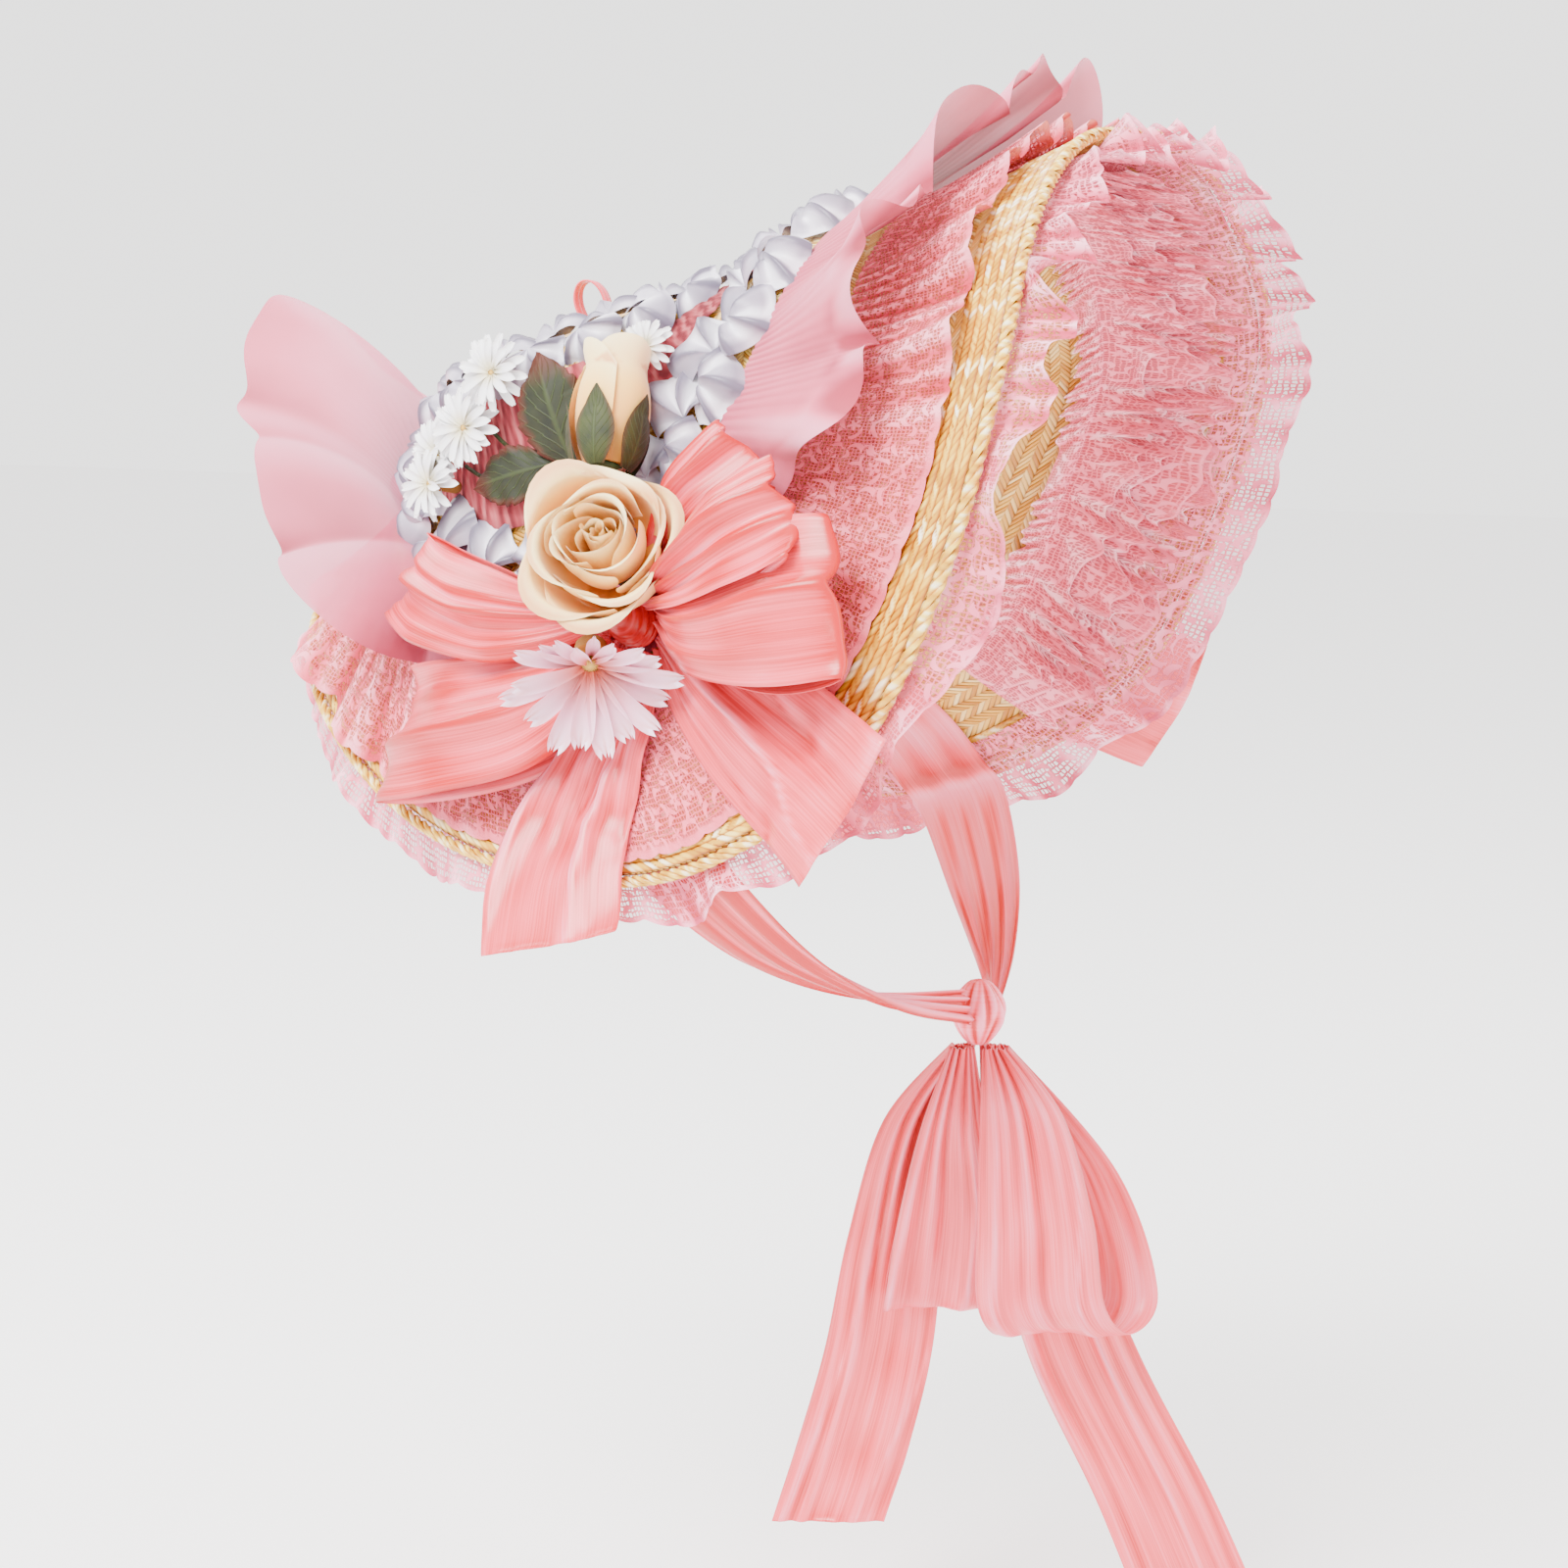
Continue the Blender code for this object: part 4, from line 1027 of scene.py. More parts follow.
def assemble(
    name: str,
    parts: list[tuple[bpy.types.Mesh, Matrix]],
    finish: Finish,
    nodes: tuple[str, ...] = (),
    strip: float = 0.0,
) -> bpy.types.Object:
    """Sets many small meshes together as one piece.

    Args:
        name: the piece's name.
        parts: each mesh with its place.
        finish: the finish.
        nodes: the CAD nodes it replaces.
        strip: width of the strip it was gathered from, if it is cloth.

    Returns:
        The object.
    """
    bm = bmesh.new()
    for mesh, matrix in parts:
        before = len(bm.verts)
        bm.from_mesh(mesh)
        bm.verts.ensure_lookup_table()
        bmesh.ops.transform(bm, matrix=matrix, verts=bm.verts[before:])
    whole = bpy.data.meshes.new(name)
    bm.to_mesh(whole)
    bm.free()
    whole.shade_smooth()
    whole.materials.append(finish.material())
    piece = placed(name, whole)
    if not strip:
        return declare(piece, nodes)
    return declare(piece, nodes)


def stand(at: Array, axis: Array, spin_deg: float = 0.0, tilt_deg: float = 0.0) -> Matrix:
    """The place of a small part that was made round +Z.

    Args:
        at: where its foot goes.
        axis: where its +Z goes.
        spin_deg: its turn round its own axis, after the tilt.
        tilt_deg: how far it leans over first.

    Returns:
        The matrix.
    """
    turn = Vector(axis).to_track_quat("Z", "Y").to_matrix().to_4x4()
    spin = Matrix.Rotation(math.radians(spin_deg), 4, "Z")
    lean = Matrix.Rotation(math.radians(tilt_deg), 4, "Y")
    return Matrix.Translation(Vector(at)) @ turn @ (spin @ lean)


def facing(at: Array, ahead: Array, up: Array, size: Point) -> Matrix:
    """The place of a small part that was made along +X on the XY plane, in a box of its own.

    Args:
        at: where its root goes.
        ahead: where its +X goes.
        up: about where its +Z goes.
        size: its scale along, across and up.

    Returns:
        The matrix.
    """
    x = unit(ahead)
    y = unit(np.cross(up, x))
    axes = Matrix([list(row) for row in np.stack([x, y, np.cross(x, y)], 1)]).to_4x4()
    return Matrix.Translation(Vector(at)) @ axes @ Matrix.Diagonal((*size, 1))


def spaced(line: Callable[[Array], Array], count: int, start: float) -> Array:
    """Angles that lie evenly far apart along a line round the hat.

    Args:
        line: points of the line at angles.
        count: how many.
        start: where the first is, as a share of their distance.

    Returns:
        The angles.
    """
    angle = np.arange(0, 360.5, 0.5)
    steps = np.linalg.norm(np.diff(line(angle), axis=0), axis=1)
    far = np.concatenate([[0], np.cumsum(steps)])
    return np.interp((np.arange(count) + start) / count * far[-1], far, angle)


@dataclass
class StrawBody:
    """Brim and crown of lapped plait rows, the modelled plaits that show, and the twisted edge plait."""

    row: float = 0.009
    plait_repeat: float = 0.0066
    relief: float = 0.0010
    outer_rows: int = 3
    strip_row: float = 0.0088
    edge_radius: float = 0.0028
    edge_pitch: float = 0.013
    strand_radius: float = 0.00155
    strands: int = 3
    wall: float = 0.0016
    plait_lift: float = 0.0011
    plait_start: float = 0.0005
    column: float = 0.00085
    rows_each: int = 10
    around: float = 1.25
    edge_length: float = 1.28
    crown_around: float = 0.5
    crown_share: float = 0.45
    hash_steps: Point = (12.9898, 78.233, 43758.5453)

    def plait_height(self, s: Array, t: Array) -> tuple[Array, Array]:
        """A flat plait of slanting straws that pass over and under.

        Args:
            s: metres along the row.
            t: share across the row, from 0 to 1.

        Returns:
            Height from 0 to 1 and a tone from 0 to 1 for each straw.
        """
        half = np.abs(t - 0.5)
        side = t > 0.5
        slant = s / (self.plait_repeat / 2) + half * 2.4 + np.where(side, 0.5, 0.0)
        number, part = np.floor(slant), slant % 1
        straw = np.sqrt(np.clip(1 - (2 * part - 1) ** 2, 0, 1))
        ends = 1 - 0.75 * np.abs(4 * half - 1) ** 7
        over = 0.85 + 0.15 * np.cos(math.tau * (2 * half - 0.35))
        first, second, third = self.hash_steps
        tone = (np.sin(number * first + side * second) * third) % 1
        return straw * ends * over, tone

    def brim_panel(self) -> Panel:
        """The brim's woven wall. Rows run parallel with the edge."""

        def place(u: Array, v: Array) -> Array:
            angle = 360 * u
            from_edge = (1 - v) * FORM.length(angle)
            lap = (from_edge / self.row) % 1
            return FORM.on_brim(angle, v, 0.0002 * np.sin(math.pi * lap))

        def chart(u: Array, v: Array) -> tuple[Array, Array]:
            return u * self.around, (1 - v) * FORM.length(360 * u)

        return Panel("brim_woven_straw", 300, 44, place, closed=True, thickness=self.wall, chart=chart)

    def crown_panel(self) -> Panel:
        """Wall and domed top in one, with the plait sewn round and round to the centre."""
        share = self.crown_share

        def place(u: Array, v: Array) -> Array:
            angle = 360 * u
            wall = FORM.on_crown(angle, np.clip(v / share, 0, 1), np.zeros_like(v))
            top = FORM.on_top(angle, np.clip((v - share) / (1 - share), 0, 1), np.zeros_like(v))
            return np.where((v <= share)[:, None], wall, top)

        def chart(u: Array, v: Array) -> tuple[Array, Array]:
            foot, top, _, _ = FORM.crown_frame(360 * u)
            below = (v / share - 1) * np.linalg.norm(top - foot, axis=1)
            above = (v - share) / (1 - share) * FORM.top_half_width
            return u * self.crown_around, np.where(v <= share, below, above)

        return Panel("crown_woven_straw", 160, 40, place, closed=True, thickness=self.wall, chart=chart)

    def plait_strip(self, name: str, rows: int, lift: float, first: float, last: float) -> Panel:
        """Modelled plait rows over part of the brim.

        Args:
            name: the piece's name.
            rows: how many rows.
            lift: how far off the brim's middle, below 0 inside it.
            first: first angle.
            last: last angle.

        Returns:
            The panel.
        """
        around = self.around * (last - first) / 360
        side = 1 if lift > 0 else -1

        def straws(u: Array, v: Array) -> tuple[Array, Array]:
            return self.plait_height(u * around, (v * rows) % 1)

        def place(u: Array, v: Array) -> Array:
            angle = first + (last - first) * u
            from_edge = self.plait_start + v * rows * self.strip_row
            edges = np.minimum(1, np.minimum(v, 1 - v) * 30)
            height = lift + side * self.relief * straws(u, v)[0] * edges
            return FORM.on_brim(angle, 1 - from_edge / FORM.length(angle), height)

        # depth is the plait's height, from which the finish paints shade in the crossings
        notes = {"tone": lambda u, v: straws(u, v)[1], "depth": lambda u, v: straws(u, v)[0]}
        chart = lambda u, v: (u * around, v * rows * self.strip_row)
        columns, whole = int(around / self.column), last - first == 360
        return Panel(name, columns, rows * self.rows_each, place, closed=whole, chart=chart, notes=notes)

    def edge_plait(self) -> Panel:
        """Strands twisted round each other along the edge, as one closed ring for each strand."""
        turns = round(self.edge_length / self.edge_pitch)

        def section(u: Array, v: Array) -> tuple[Array, Array, Array]:
            strand = np.minimum(np.floor(v * self.strands), self.strands - 1)
            spin = (v * self.strands - strand) * math.tau
            return strand, spin, math.tau * (turns * u + strand / self.strands)

        def place(u: Array, v: Array) -> Array:
            _, spin, twist = section(u, v)
            edge, outwards, normal = FORM.brim_frame(360 * u, np.ones_like(u))
            core = self.edge_radius + FORM.gap
            throw = self.edge_radius - self.strand_radius
            out, up = core + throw * np.cos(twist), throw * np.sin(twist)
            centre = shifted(edge, (outwards, out), (normal, up))
            skin = outwards * np.cos(spin)[:, None] + normal * np.sin(spin)[:, None]
            return centre + skin * self.strand_radius

        def tone(u: Array, v: Array) -> Array:
            return (0.35 + 0.3 * section(u, v)[0] + 0.3 * np.sin(turns * u * math.tau * 2.5)) % 1

        # the side of each strand that faces the twist's core is low, and the finish paints shade there
        def depth(u: Array, v: Array) -> Array:
            _, spin, twist = section(u, v)
            return 0.5 + 0.5 * np.cos(spin - twist)

        chart = lambda u, v: (v * 0.02, u * self.edge_length)
        notes = {"tone": tone, "depth": depth}
        return Panel("brim_edge_twist", turns * 12, 18, place, closed=True, chart=chart, notes=notes)

    def build(self) -> None:
        """Builds the straw."""
        dress(self.brim_panel(), STRAW, ("straw_brim",))
        dress(self.crown_panel(), STRAW, ("straw_crown",))
        outside = self.plait_strip("brim_plaits_outside", self.outer_rows, self.plait_lift, 0, 360)
        dress(outside, CARVED)
        inside = self.plait_strip("brim_plaits_inside", 2, -self.plait_lift, 60, 300)
        dress(inside, CARVED)
        dress(self.edge_plait(), CARVED, ("brim_edge_plait",))


@dataclass
class Ruches:
    """White satin ruches round the crown's foot and top, and the crinkled band between them."""

    count: int = 26
    top_count: int = 21
    reach: float = 0.018
    top_reach: float = 0.011
    root_height: float = 0.0048
    puff: float = 0.0072
    top_puff: float = 0.0058
    wall_share: float = 0.50
    top_wall_share: float = 0.28
    shell_length: float = 1.08
    shell_width: float = 1.22
    top_shell_length: float = 1.45
    top_shell_width: float = 1.85
    top_shell_limit: float = 1.5
    top_wall_stretch: float = 1.25
    top_root_height: float = 0.0032
    pleats: int = 44
    strip: float = 0.045
    top_strip: float = 0.035

    def shell(self, seed: int) -> bpy.types.Mesh:
        """One petal of a ruche in a unit box: satin gathered at its root, that fans out and turns under.

        Args:
            seed: how its folds lie.

        Returns:
            The mesh.
        """
        dice = np.random.default_rng(seed)
        folds, start = dice.uniform(1.9, 2.7), dice.uniform(0, math.pi)
        lean, twist = dice.uniform(-0.15, 0.15), dice.choice((-1, 1)) * dice.uniform(0.25, 0.5)

        def place(u: Array, v: Array) -> Array:
            spread = (2 * u - 1) * math.radians(104)
            bent = spread + 0.25 * np.sin(2 * spread + start) + 0.5 * twist * v
            ridge = 1 - np.abs(np.sin(folds * bent + start))
            reach = v * (1 + 0.20 * (ridge - 0.4) * v)
            ahead = reach * (0.22 + 0.80 * np.cos(spread))
            side = reach * 0.74 * np.sin(spread) + lean * v * v
            dome = np.sin(math.pi * np.clip(0.16 + 0.84 * v, 0, 1)) ** 0.7 * (0.66 + 0.30 * np.cos(spread))
            pleat = 0.85 * (ridge - 0.35) * np.clip(3 * v, 0, 1) * (1.05 - 0.45 * v)
            tilt = twist * np.sin(spread) * v
            rise = np.maximum(dome + pleat + tilt - 0.30 * v**3, -0.25)
            return np.stack([ahead, side, rise], 1)

        return Panel("ruche_shell", 34, 10, place, (0.05, 0.022), reach=2, depth_mm=60).mesh()

    def base(self) -> None:
        """The ruche over the seam of crown and brim: shells on both sides of a zigzag line."""
        shapes = [self.shell(seed) for seed in range(7)]
        parts = []
        for side, start in ((0, 0.0), (1, 0.5)):
            angle = spaced(FORM.foot, self.count, start)
            seam, outwards, normal = FORM.brim_frame(angle, np.zeros_like(angle))
            foot, top, upwards, outward = FORM.crown_frame(angle)
            lean = unit(normal + outward)
            height = np.linalg.norm(top - foot, axis=1)
            wall = np.minimum(self.reach * self.shell_width, self.wall_share * height * self.shell_length)
            for k in range(self.count):
                size = wall[k] if side else self.reach * self.shell_length
                ahead, up = (upwards[k], outward[k]) if side else (outwards[k], normal[k])
                at = seam[k] + lean[k] * self.root_height
                shape = shapes[(3 * k + side) % len(shapes)]
                box = (size, self.reach * self.shell_width, self.puff)
                parts.append((shape, facing(at, ahead, up, box)))
        assemble("crown_ruche_satin", parts, SATIN, ("crown_ruche_base",), self.strip)

    def top(self) -> None:
        """The ruche over the crown's top edge."""
        shapes = [self.shell(seed) for seed in range(10, 16)]
        over = FORM.top_normal()
        parts = []
        for side, start in ((0, 0.0), (1, 0.5)):
            angle = spaced(FORM.top, self.top_count, start)
            foot, top, upwards, outward = FORM.crown_frame(angle)
            inward = unit(FORM.on_top(angle, np.full_like(angle, 0.1), np.zeros_like(angle)) - top)
            height = np.linalg.norm(top - foot, axis=1)
            limit = self.top_reach * self.top_shell_limit
            wall = np.minimum(limit, self.top_wall_share * height * self.top_wall_stretch)
            for k in range(self.top_count):
                size = wall[k] if side else self.top_reach * self.top_shell_length
                ahead, up = (-upwards[k], outward[k]) if side else (inward[k], over)
                at = top[k] + unit(over + outward[k]) * self.top_root_height
                shape = shapes[(2 * k + side) % len(shapes)]
                box = (size, self.top_reach * self.top_shell_width, self.top_puff)
                parts.append((shape, facing(at, ahead, up, box)))
        nodes = ("crown_ruche_top",)
        assemble("crown_top_ruche_satin", parts, SATIN, nodes, self.top_strip)

    def band_panel(self) -> Panel:
        """The crinkled band: narrow uneven pleats that lean and run into each other."""

        def place(u: Array, v: Array) -> Array:
            foot, top, upwards, outward = FORM.crown_frame(360 * u)
            height = np.linalg.norm(top - foot, axis=1)
            low = np.minimum(self.reach, self.wall_share * height * 0.9)
            high = height - np.minimum(self.top_reach, self.top_wall_share * height * 0.9)
            lean = u + 0.004 * (v - 0.5) + 0.0012 * np.sin(math.tau * (2.2 * v + 17 * u))
            pleat = np.abs(sine(lean, self.pleats)) ** 0.8 + 0.2 * sine(lean, 131, 3 * v)
            return shifted(foot, (upwards, low + (high - low) * v), (outward, 0.0028 + 0.0008 * pleat))

        cut = (1.2, 0.04)
        return Panel("crown_band_crinkled", 900, 8, place, cut, True, thickness=0.3 * MM, depth_mm=0.5)

    def build(self) -> None:
        """Builds both ruches and the band."""
        self.base()
        self.top()
        dress(self.band_panel(), VOILE, ("crown_band",), Held.GATHERED)


@dataclass
class Ruffles:
    """Chiffon and lace ruffles on the brim, the lace edging, and the lining with its small frills.

    Rows of chiffon_line are angle, length, degrees it stands up and fold depth. Rows of frills are the
    share across the brim, width, stand and number of waves.
    """

    press_line: Table = ((0, 1), (46, 1), (60, 0), (140, 0), (160, 1), (180, 1))
    lace_folds: int = 20
    lace_start: float = 0.385
    lace_reach: Table = ((0, 0.87), (88, 0.87), (108, 0.955), (180, 0.965))
    lace_fold: float = 0.0075
    lace_lift: float = 0.0026
    lace_lobes: int = 31
    lace_points: int = 60
    lace_gathers: int = 124
    lace_scallop: float = 0.0100
    lace_frill: float = 0.0095
    lace_near: float = 68.0
    lace_far: float = 145.0
    lace_fade: float = 12.0
    lining_reach: float = 99.0
    lining_start: float = 0.59
    lining_lift: float = 0.0034
    lining_gathers: int = 97
    frill_lift: float = 0.0042
    lining_width: float = 0.27
    lining_shift: float = 0.10
    narrow_from: float = 72.0
    narrow_over: float = 32.0
    frills: Table = (
        (0.60, -0.012, 0.004, 46), (0.60, 0.020, 0.0085, 35), (0.665, 0.021, 0.0095, 41),
        (0.73, 0.022, 0.0095, 33), (0.795, 0.020, 0.0085, 38),
    )
    under_root: float = 0.016
    under_reach: float = 0.018
    under_lift: float = 0.0031
    under_lobes: int = 30
    under_points: int = 66
    under_gathers: int = 170
    under_scallop: float = 0.0045
    under_flounce: float = 0.0058
    under_droop: float = 0.0070
    point_height: float = 0.0016
    chiffon_folds: int = 17
    chiffon_length: float = 0.086
    chiffon_start: float = 0.0195
    chiffon_fold: float = 0.0150
    chiffon_lift: float = 0.0024
    chiffon_creases: int = 57
    chiffon_gathers: int = 132
    chiffon_curls: int = 41
    chiffon_sway: float = 0.22
    chiffon_line: Table = (
        (0, 1.00, 18, 0.9), (30, 1.04, 14, 1.3), (45, 1.10, 14, 1.6), (57, 1.20, 12, 1.8),
        (64, 1.05, 8, 1.4), (70, 0.74, 4, 0.8), (78, 0.46, 2, 0.1), (104, 0.46, 1.5, 0.05),
        (112, 0.38, 4, 0.1), (122, 0.38, 5, 0.1), (144, 0.44, 7, 0.1), (152, 0.74, 84, 0.7),
        (161, 0.92, 118, 0.8), (180, 1.04, 132, 1.0),
    )

    def narrow(self, angle: Array) -> Array:
        """How far the lining has narrowed towards its ends, from 0."""
        return np.clip((np.abs(angle) - self.narrow_from) / self.narrow_over, 0, 1) ** 1.5

    def chiffon_panel(self) -> Panel:
        """The chiffon ruffle: tight gathers at its root that open into deep flutes."""

        def place(u: Array, v: Array) -> Array:
            angle = 360 * u
            length, stand, fold = even(self.chiffon_line, angle)
            phase = self.chiffon_folds * np.radians(angle) + 1.1 * np.sin(np.radians(3 * angle))
            phase = phase + 0.7 * np.cos(np.radians(5 * angle))
            second = sine(u, self.chiffon_creases, 2.2 * sine(u, 9))
            full = np.clip(fold, 0, 1)
            sway = self.chiffon_sway * full * v * np.sin(2 * phase)
            angle = angle + sway * math.degrees(1 / self.chiffon_folds)
            uneven = 1 + 0.012 * second * fold + 0.07 * np.sin(phase + 0.9) * fold * v
            reach = self.chiffon_length * length * v * uneven
            rise = np.radians(stand) * (1.12 - 0.24 * v)
            wave = (1 + np.sin(phase)) / 2 + 0.07 * second * v
            pucker = sine(u, self.chiffon_gathers, 3 * sine(u, 13))
            gather = 0.0007 * (0.35 + 0.65 * full) * pucker * np.exp(-2.2 * v)
            across = (self.chiffon_start - 0.004 * (1 - v) + reach * np.cos(rise)) / FORM.length(angle)
            lift = self.chiffon_lift + reach * np.sin(rise) + self.chiffon_fold * fold * wave * v**1.1
            rim = np.cos(math.tau * u * self.chiffon_curls + 2 * sine(u, 7))
            curl = 0.0022 * fold * np.clip(v - 0.7, 0, 1) * rim
            return FORM.on_brim(angle, across, lift + np.abs(gather) + 4 * curl * v)

        return Panel("chiffon_ruffle_gathered", 1320, 30, place, (2.6, 0.086), True, reach=6, depth_mm=1.3)

    def lace_top_panel(self) -> Panel:
        """The lace ruffle on the brim's outer side, scalloped at its free edge."""

        def place(u: Array, v: Array) -> Array:
            angle = 360 * u
            (full,) = even(self.press_line, angle)
            wave = (1 + fold_wave(angle, self.lace_folds)) / 2
            turned = from_front(angle)
            loose = np.clip((self.lace_near - turned) / self.lace_fade, 0.15, 1)
            loose = loose + np.clip(turned - self.lace_far, 0, 10) / self.lace_fade
            beat = math.tau * u * self.lace_lobes + 1.6 * sine(u, 5)
            lobe = np.abs(np.sin(beat / 2))
            scallop = self.point_height * np.abs(sine(u, self.lace_points)) ** 0.7 * v**8
            scallop = scallop + self.lace_scallop * (lobe**0.7 - 0.6) * v**3 * loose
            crease = np.abs(np.sin(math.tau * u * self.lace_gathers + 2 * sine(u, 11) + v))
            gather = 0.0012 * crease * (1.0 - 0.8 * v) * (0.4 + 0.6 * loose)
            frill = self.lace_frill * loose * v**1.5 * lobe**1.5
            frill = frill + 0.0010 * np.sin(2.6 * beat + 4 * v) * v * loose
            (end,) = even(self.lace_reach, angle)
            across = self.lace_start + (end - self.lace_start) * v + scallop / FORM.length(angle)
            press = 0.5 * full * self.lace_fold * (0.15 + 0.85 * v) * wave
            return FORM.on_brim(angle, across, self.lace_lift + press + gather + frill)

        cut = (2.6, 0.085)
        return Panel("lace_ruffle_outside", 1320, 26, place, cut, True, reach=4, depth_mm=0.9, notes=HEM)

    def edging_panel(self) -> Panel:
        """The gathered edging sewn inside the brim's edge, with deep scallops."""

        def place(u: Array, v: Array) -> Array:
            angle = 360 * u
            wave = fold_wave(angle, self.lace_folds)
            past = np.clip(v - 0.45, 0, 1) / 0.55
            beat = math.tau * u * self.under_lobes + 1.6 * sine(u, 7)
            front = 0.45 + 1.0 * np.clip((78 - from_front(angle)) / 30, 0, 1)
            lobe = np.abs(np.sin(beat / 2))
            flounce = (1.1 * np.cos(beat) + 0.22 * np.sin(3.3 * beat + 2)) * front
            lift = -self.under_lift - 0.0019 * np.clip(v * 2, 0, 1)
            lift = lift - self.under_droop * past * (0.7 + 0.8 * wave) + self.under_flounce * flounce * past
            lift = lift - 0.0008 * np.abs(sine(u, self.under_gathers)) * (1 - past)
            points = np.abs(sine(u, self.under_points)) ** 0.7 - 0.4
            scallop = self.point_height * points * v**8
            scallop = scallop + self.under_scallop * (lobe**0.7 - 0.6) * v**3 * front
            along = (self.under_root + self.under_reach) * v - self.under_root + scallop
            return FORM.on_brim(angle, 1 + along / FORM.length(angle), lift)

        cut = (2.6, 0.036)
        return Panel("lace_edging_inside", 1500, 18, place, cut, True, reach=4, depth_mm=0.9, notes=HEM)

    def lining_panel(self) -> Panel:
        """The flat gathered lace inside the front brim, which the frills stand on."""

        def place(u: Array, v: Array) -> Array:
            angle = self.lining_reach * (2 * u - 1)
            shift = self.lining_shift * self.narrow(angle)
            gather = np.abs(np.sin(math.tau * u * self.lining_gathers + 3 * v + 2 * sine(u, 13)))
            lift = -self.lining_lift - 0.0014 * gather
            ends = np.clip(np.minimum(np.minimum(v, 1 - v) * 14, np.minimum(u, 1 - u) * 60), 0, 1)
            across = self.lining_start + shift + (self.lining_width - shift) * v
            return FORM.on_brim(angle, across, lift * ends - 0.0019 * (1 - ends))

        notes = {"edge": lambda u, v: v * 0}
        return Panel("lace_lining_shirred", 700, 20, place, (2.4, 0.11), reach=4, depth_mm=1.0, notes=notes)

    def frill_panel(self, name: str, root: float, length: float, stand: float, flounces: int) -> Panel:
        """A small frill sewn along the lining.

        Args:
            name: the piece's name.
            root: share across the brim where it is sewn.
            length: its width, towards the crown where it is below 0.
            stand: how far its free edge stands off.
            flounces: how many small waves it has.

        Returns:
            The panel.
        """
        end = self.lining_start + self.lining_width

        def place(u: Array, v: Array) -> Array:
            angle = self.lining_reach * (2 * u - 1)
            beat = math.tau * u * flounces + 2.6 * sine(u, 9, flounces) + 1.4 * sine(u, 17, 2 * root)
            at = root + self.lining_shift * self.narrow(angle) * (end - root) / self.lining_width
            crumple = np.sin(2.7 * beat + 5 * v + flounces)
            uneven = 1 + 0.45 * sine(u, 13.7, flounces) * sine(u, 5.3, root * 40)
            lobe = np.abs(np.sin(beat / 2)) ** 0.8 * uneven
            across = at + length * v / FORM.length(angle) * (0.75 + 0.40 * lobe + 0.10 * crumple)
            fade = np.clip(np.minimum(u, 1 - u) * 30, 0.1, 1)
            lift = -self.frill_lift - fade * ((0.5 + lobe) * stand * v + 0.0015 * crumple * v)
            return FORM.on_brim(angle, across, lift)

        return Panel(name, 1100, 8, place, (1.6, 0.022), reach=4, depth_mm=0.8, notes=HEM)

    def build(self) -> None:
        """Builds every ruffle."""
        for panel, finish, slot, node in (
            (self.chiffon_panel(), CHIFFON, "pink_chiffon", "chiffon_ruffle"),
            (self.lace_top_panel(), LACE, "coral_lace", "lace_ruffle_top"),
            (self.edging_panel(), LACE_PALE, "coral_lace", "lace_edge_under"),
            (self.lining_panel(), LACE_LINING, "coral_lace", "lace_lining"),
        ):
            dress(panel, finish, (node,), Held.GATHERED)
        for number, row in enumerate(self.frills):
            panel = self.frill_panel(f"lace_frill_{number + 1}", *row)
            dress(panel, LACE_LINING, (), Held.GATHERED)


@dataclass
class RibbonFolds:
    """How a ribbon creases: tight lengthwise pleats where it is gathered, which open out along it."""

    pleats: float = 3.0
    pleat_depth: float = 0.0040
    loose_depth: float = 0.0050
    crown: float = 0.0105
    crush: float = 0.0004
    full_half: float = 0.56

    def lift(self, u: Array, v: Array, half: Array, seed: int, arch: Array) -> Array:
        """How far the cloth stands off its middle surface.

        Args:
            u: place along the ribbon.
            v: place across it.
            half: its half width there, as a share of the ribbon's width.
            seed: which creases.
            arch: which way the middle bulges, from -1 to 1.

        Returns:
            Metres.
        """
        dice = np.random.default_rng(seed)
        start, drift = dice.uniform(0, math.tau), dice.uniform(0.15, 0.45)
        tight = np.clip(1 - half / self.full_half, 0, 1)
        wander = drift * np.sin(math.tau * (0.6 * u + 0.1 * seed)) + 0.3 * np.sin(math.tau * 1.3 * v + seed)
        pleat = np.sin(math.tau * (self.pleats * v + wander) + start)
        pleat = pleat + 0.4 * np.sin(math.tau * 2.3 * self.pleats * v + seed)
        slope = math.pi * (1.5 * v + 0.40 * u + 0.10 * np.sin(math.tau * 1.7 * v)) + start
        soft = (1 - 2 * np.abs(np.sin(slope)) ** 0.85) * np.sin(math.pi * u) ** 0.6
        bulge = self.crown * (1 - (2 * v - 1) ** 2) * arch * np.clip(half / 0.5, 0, 1)
        creases = self.crush * ripple(u, v, seed, waves=9, pace=6) * np.clip(half / 0.3, 0, 1)
        return self.pleat_depth * tight * pleat + self.loose_depth * soft + bulge + creases


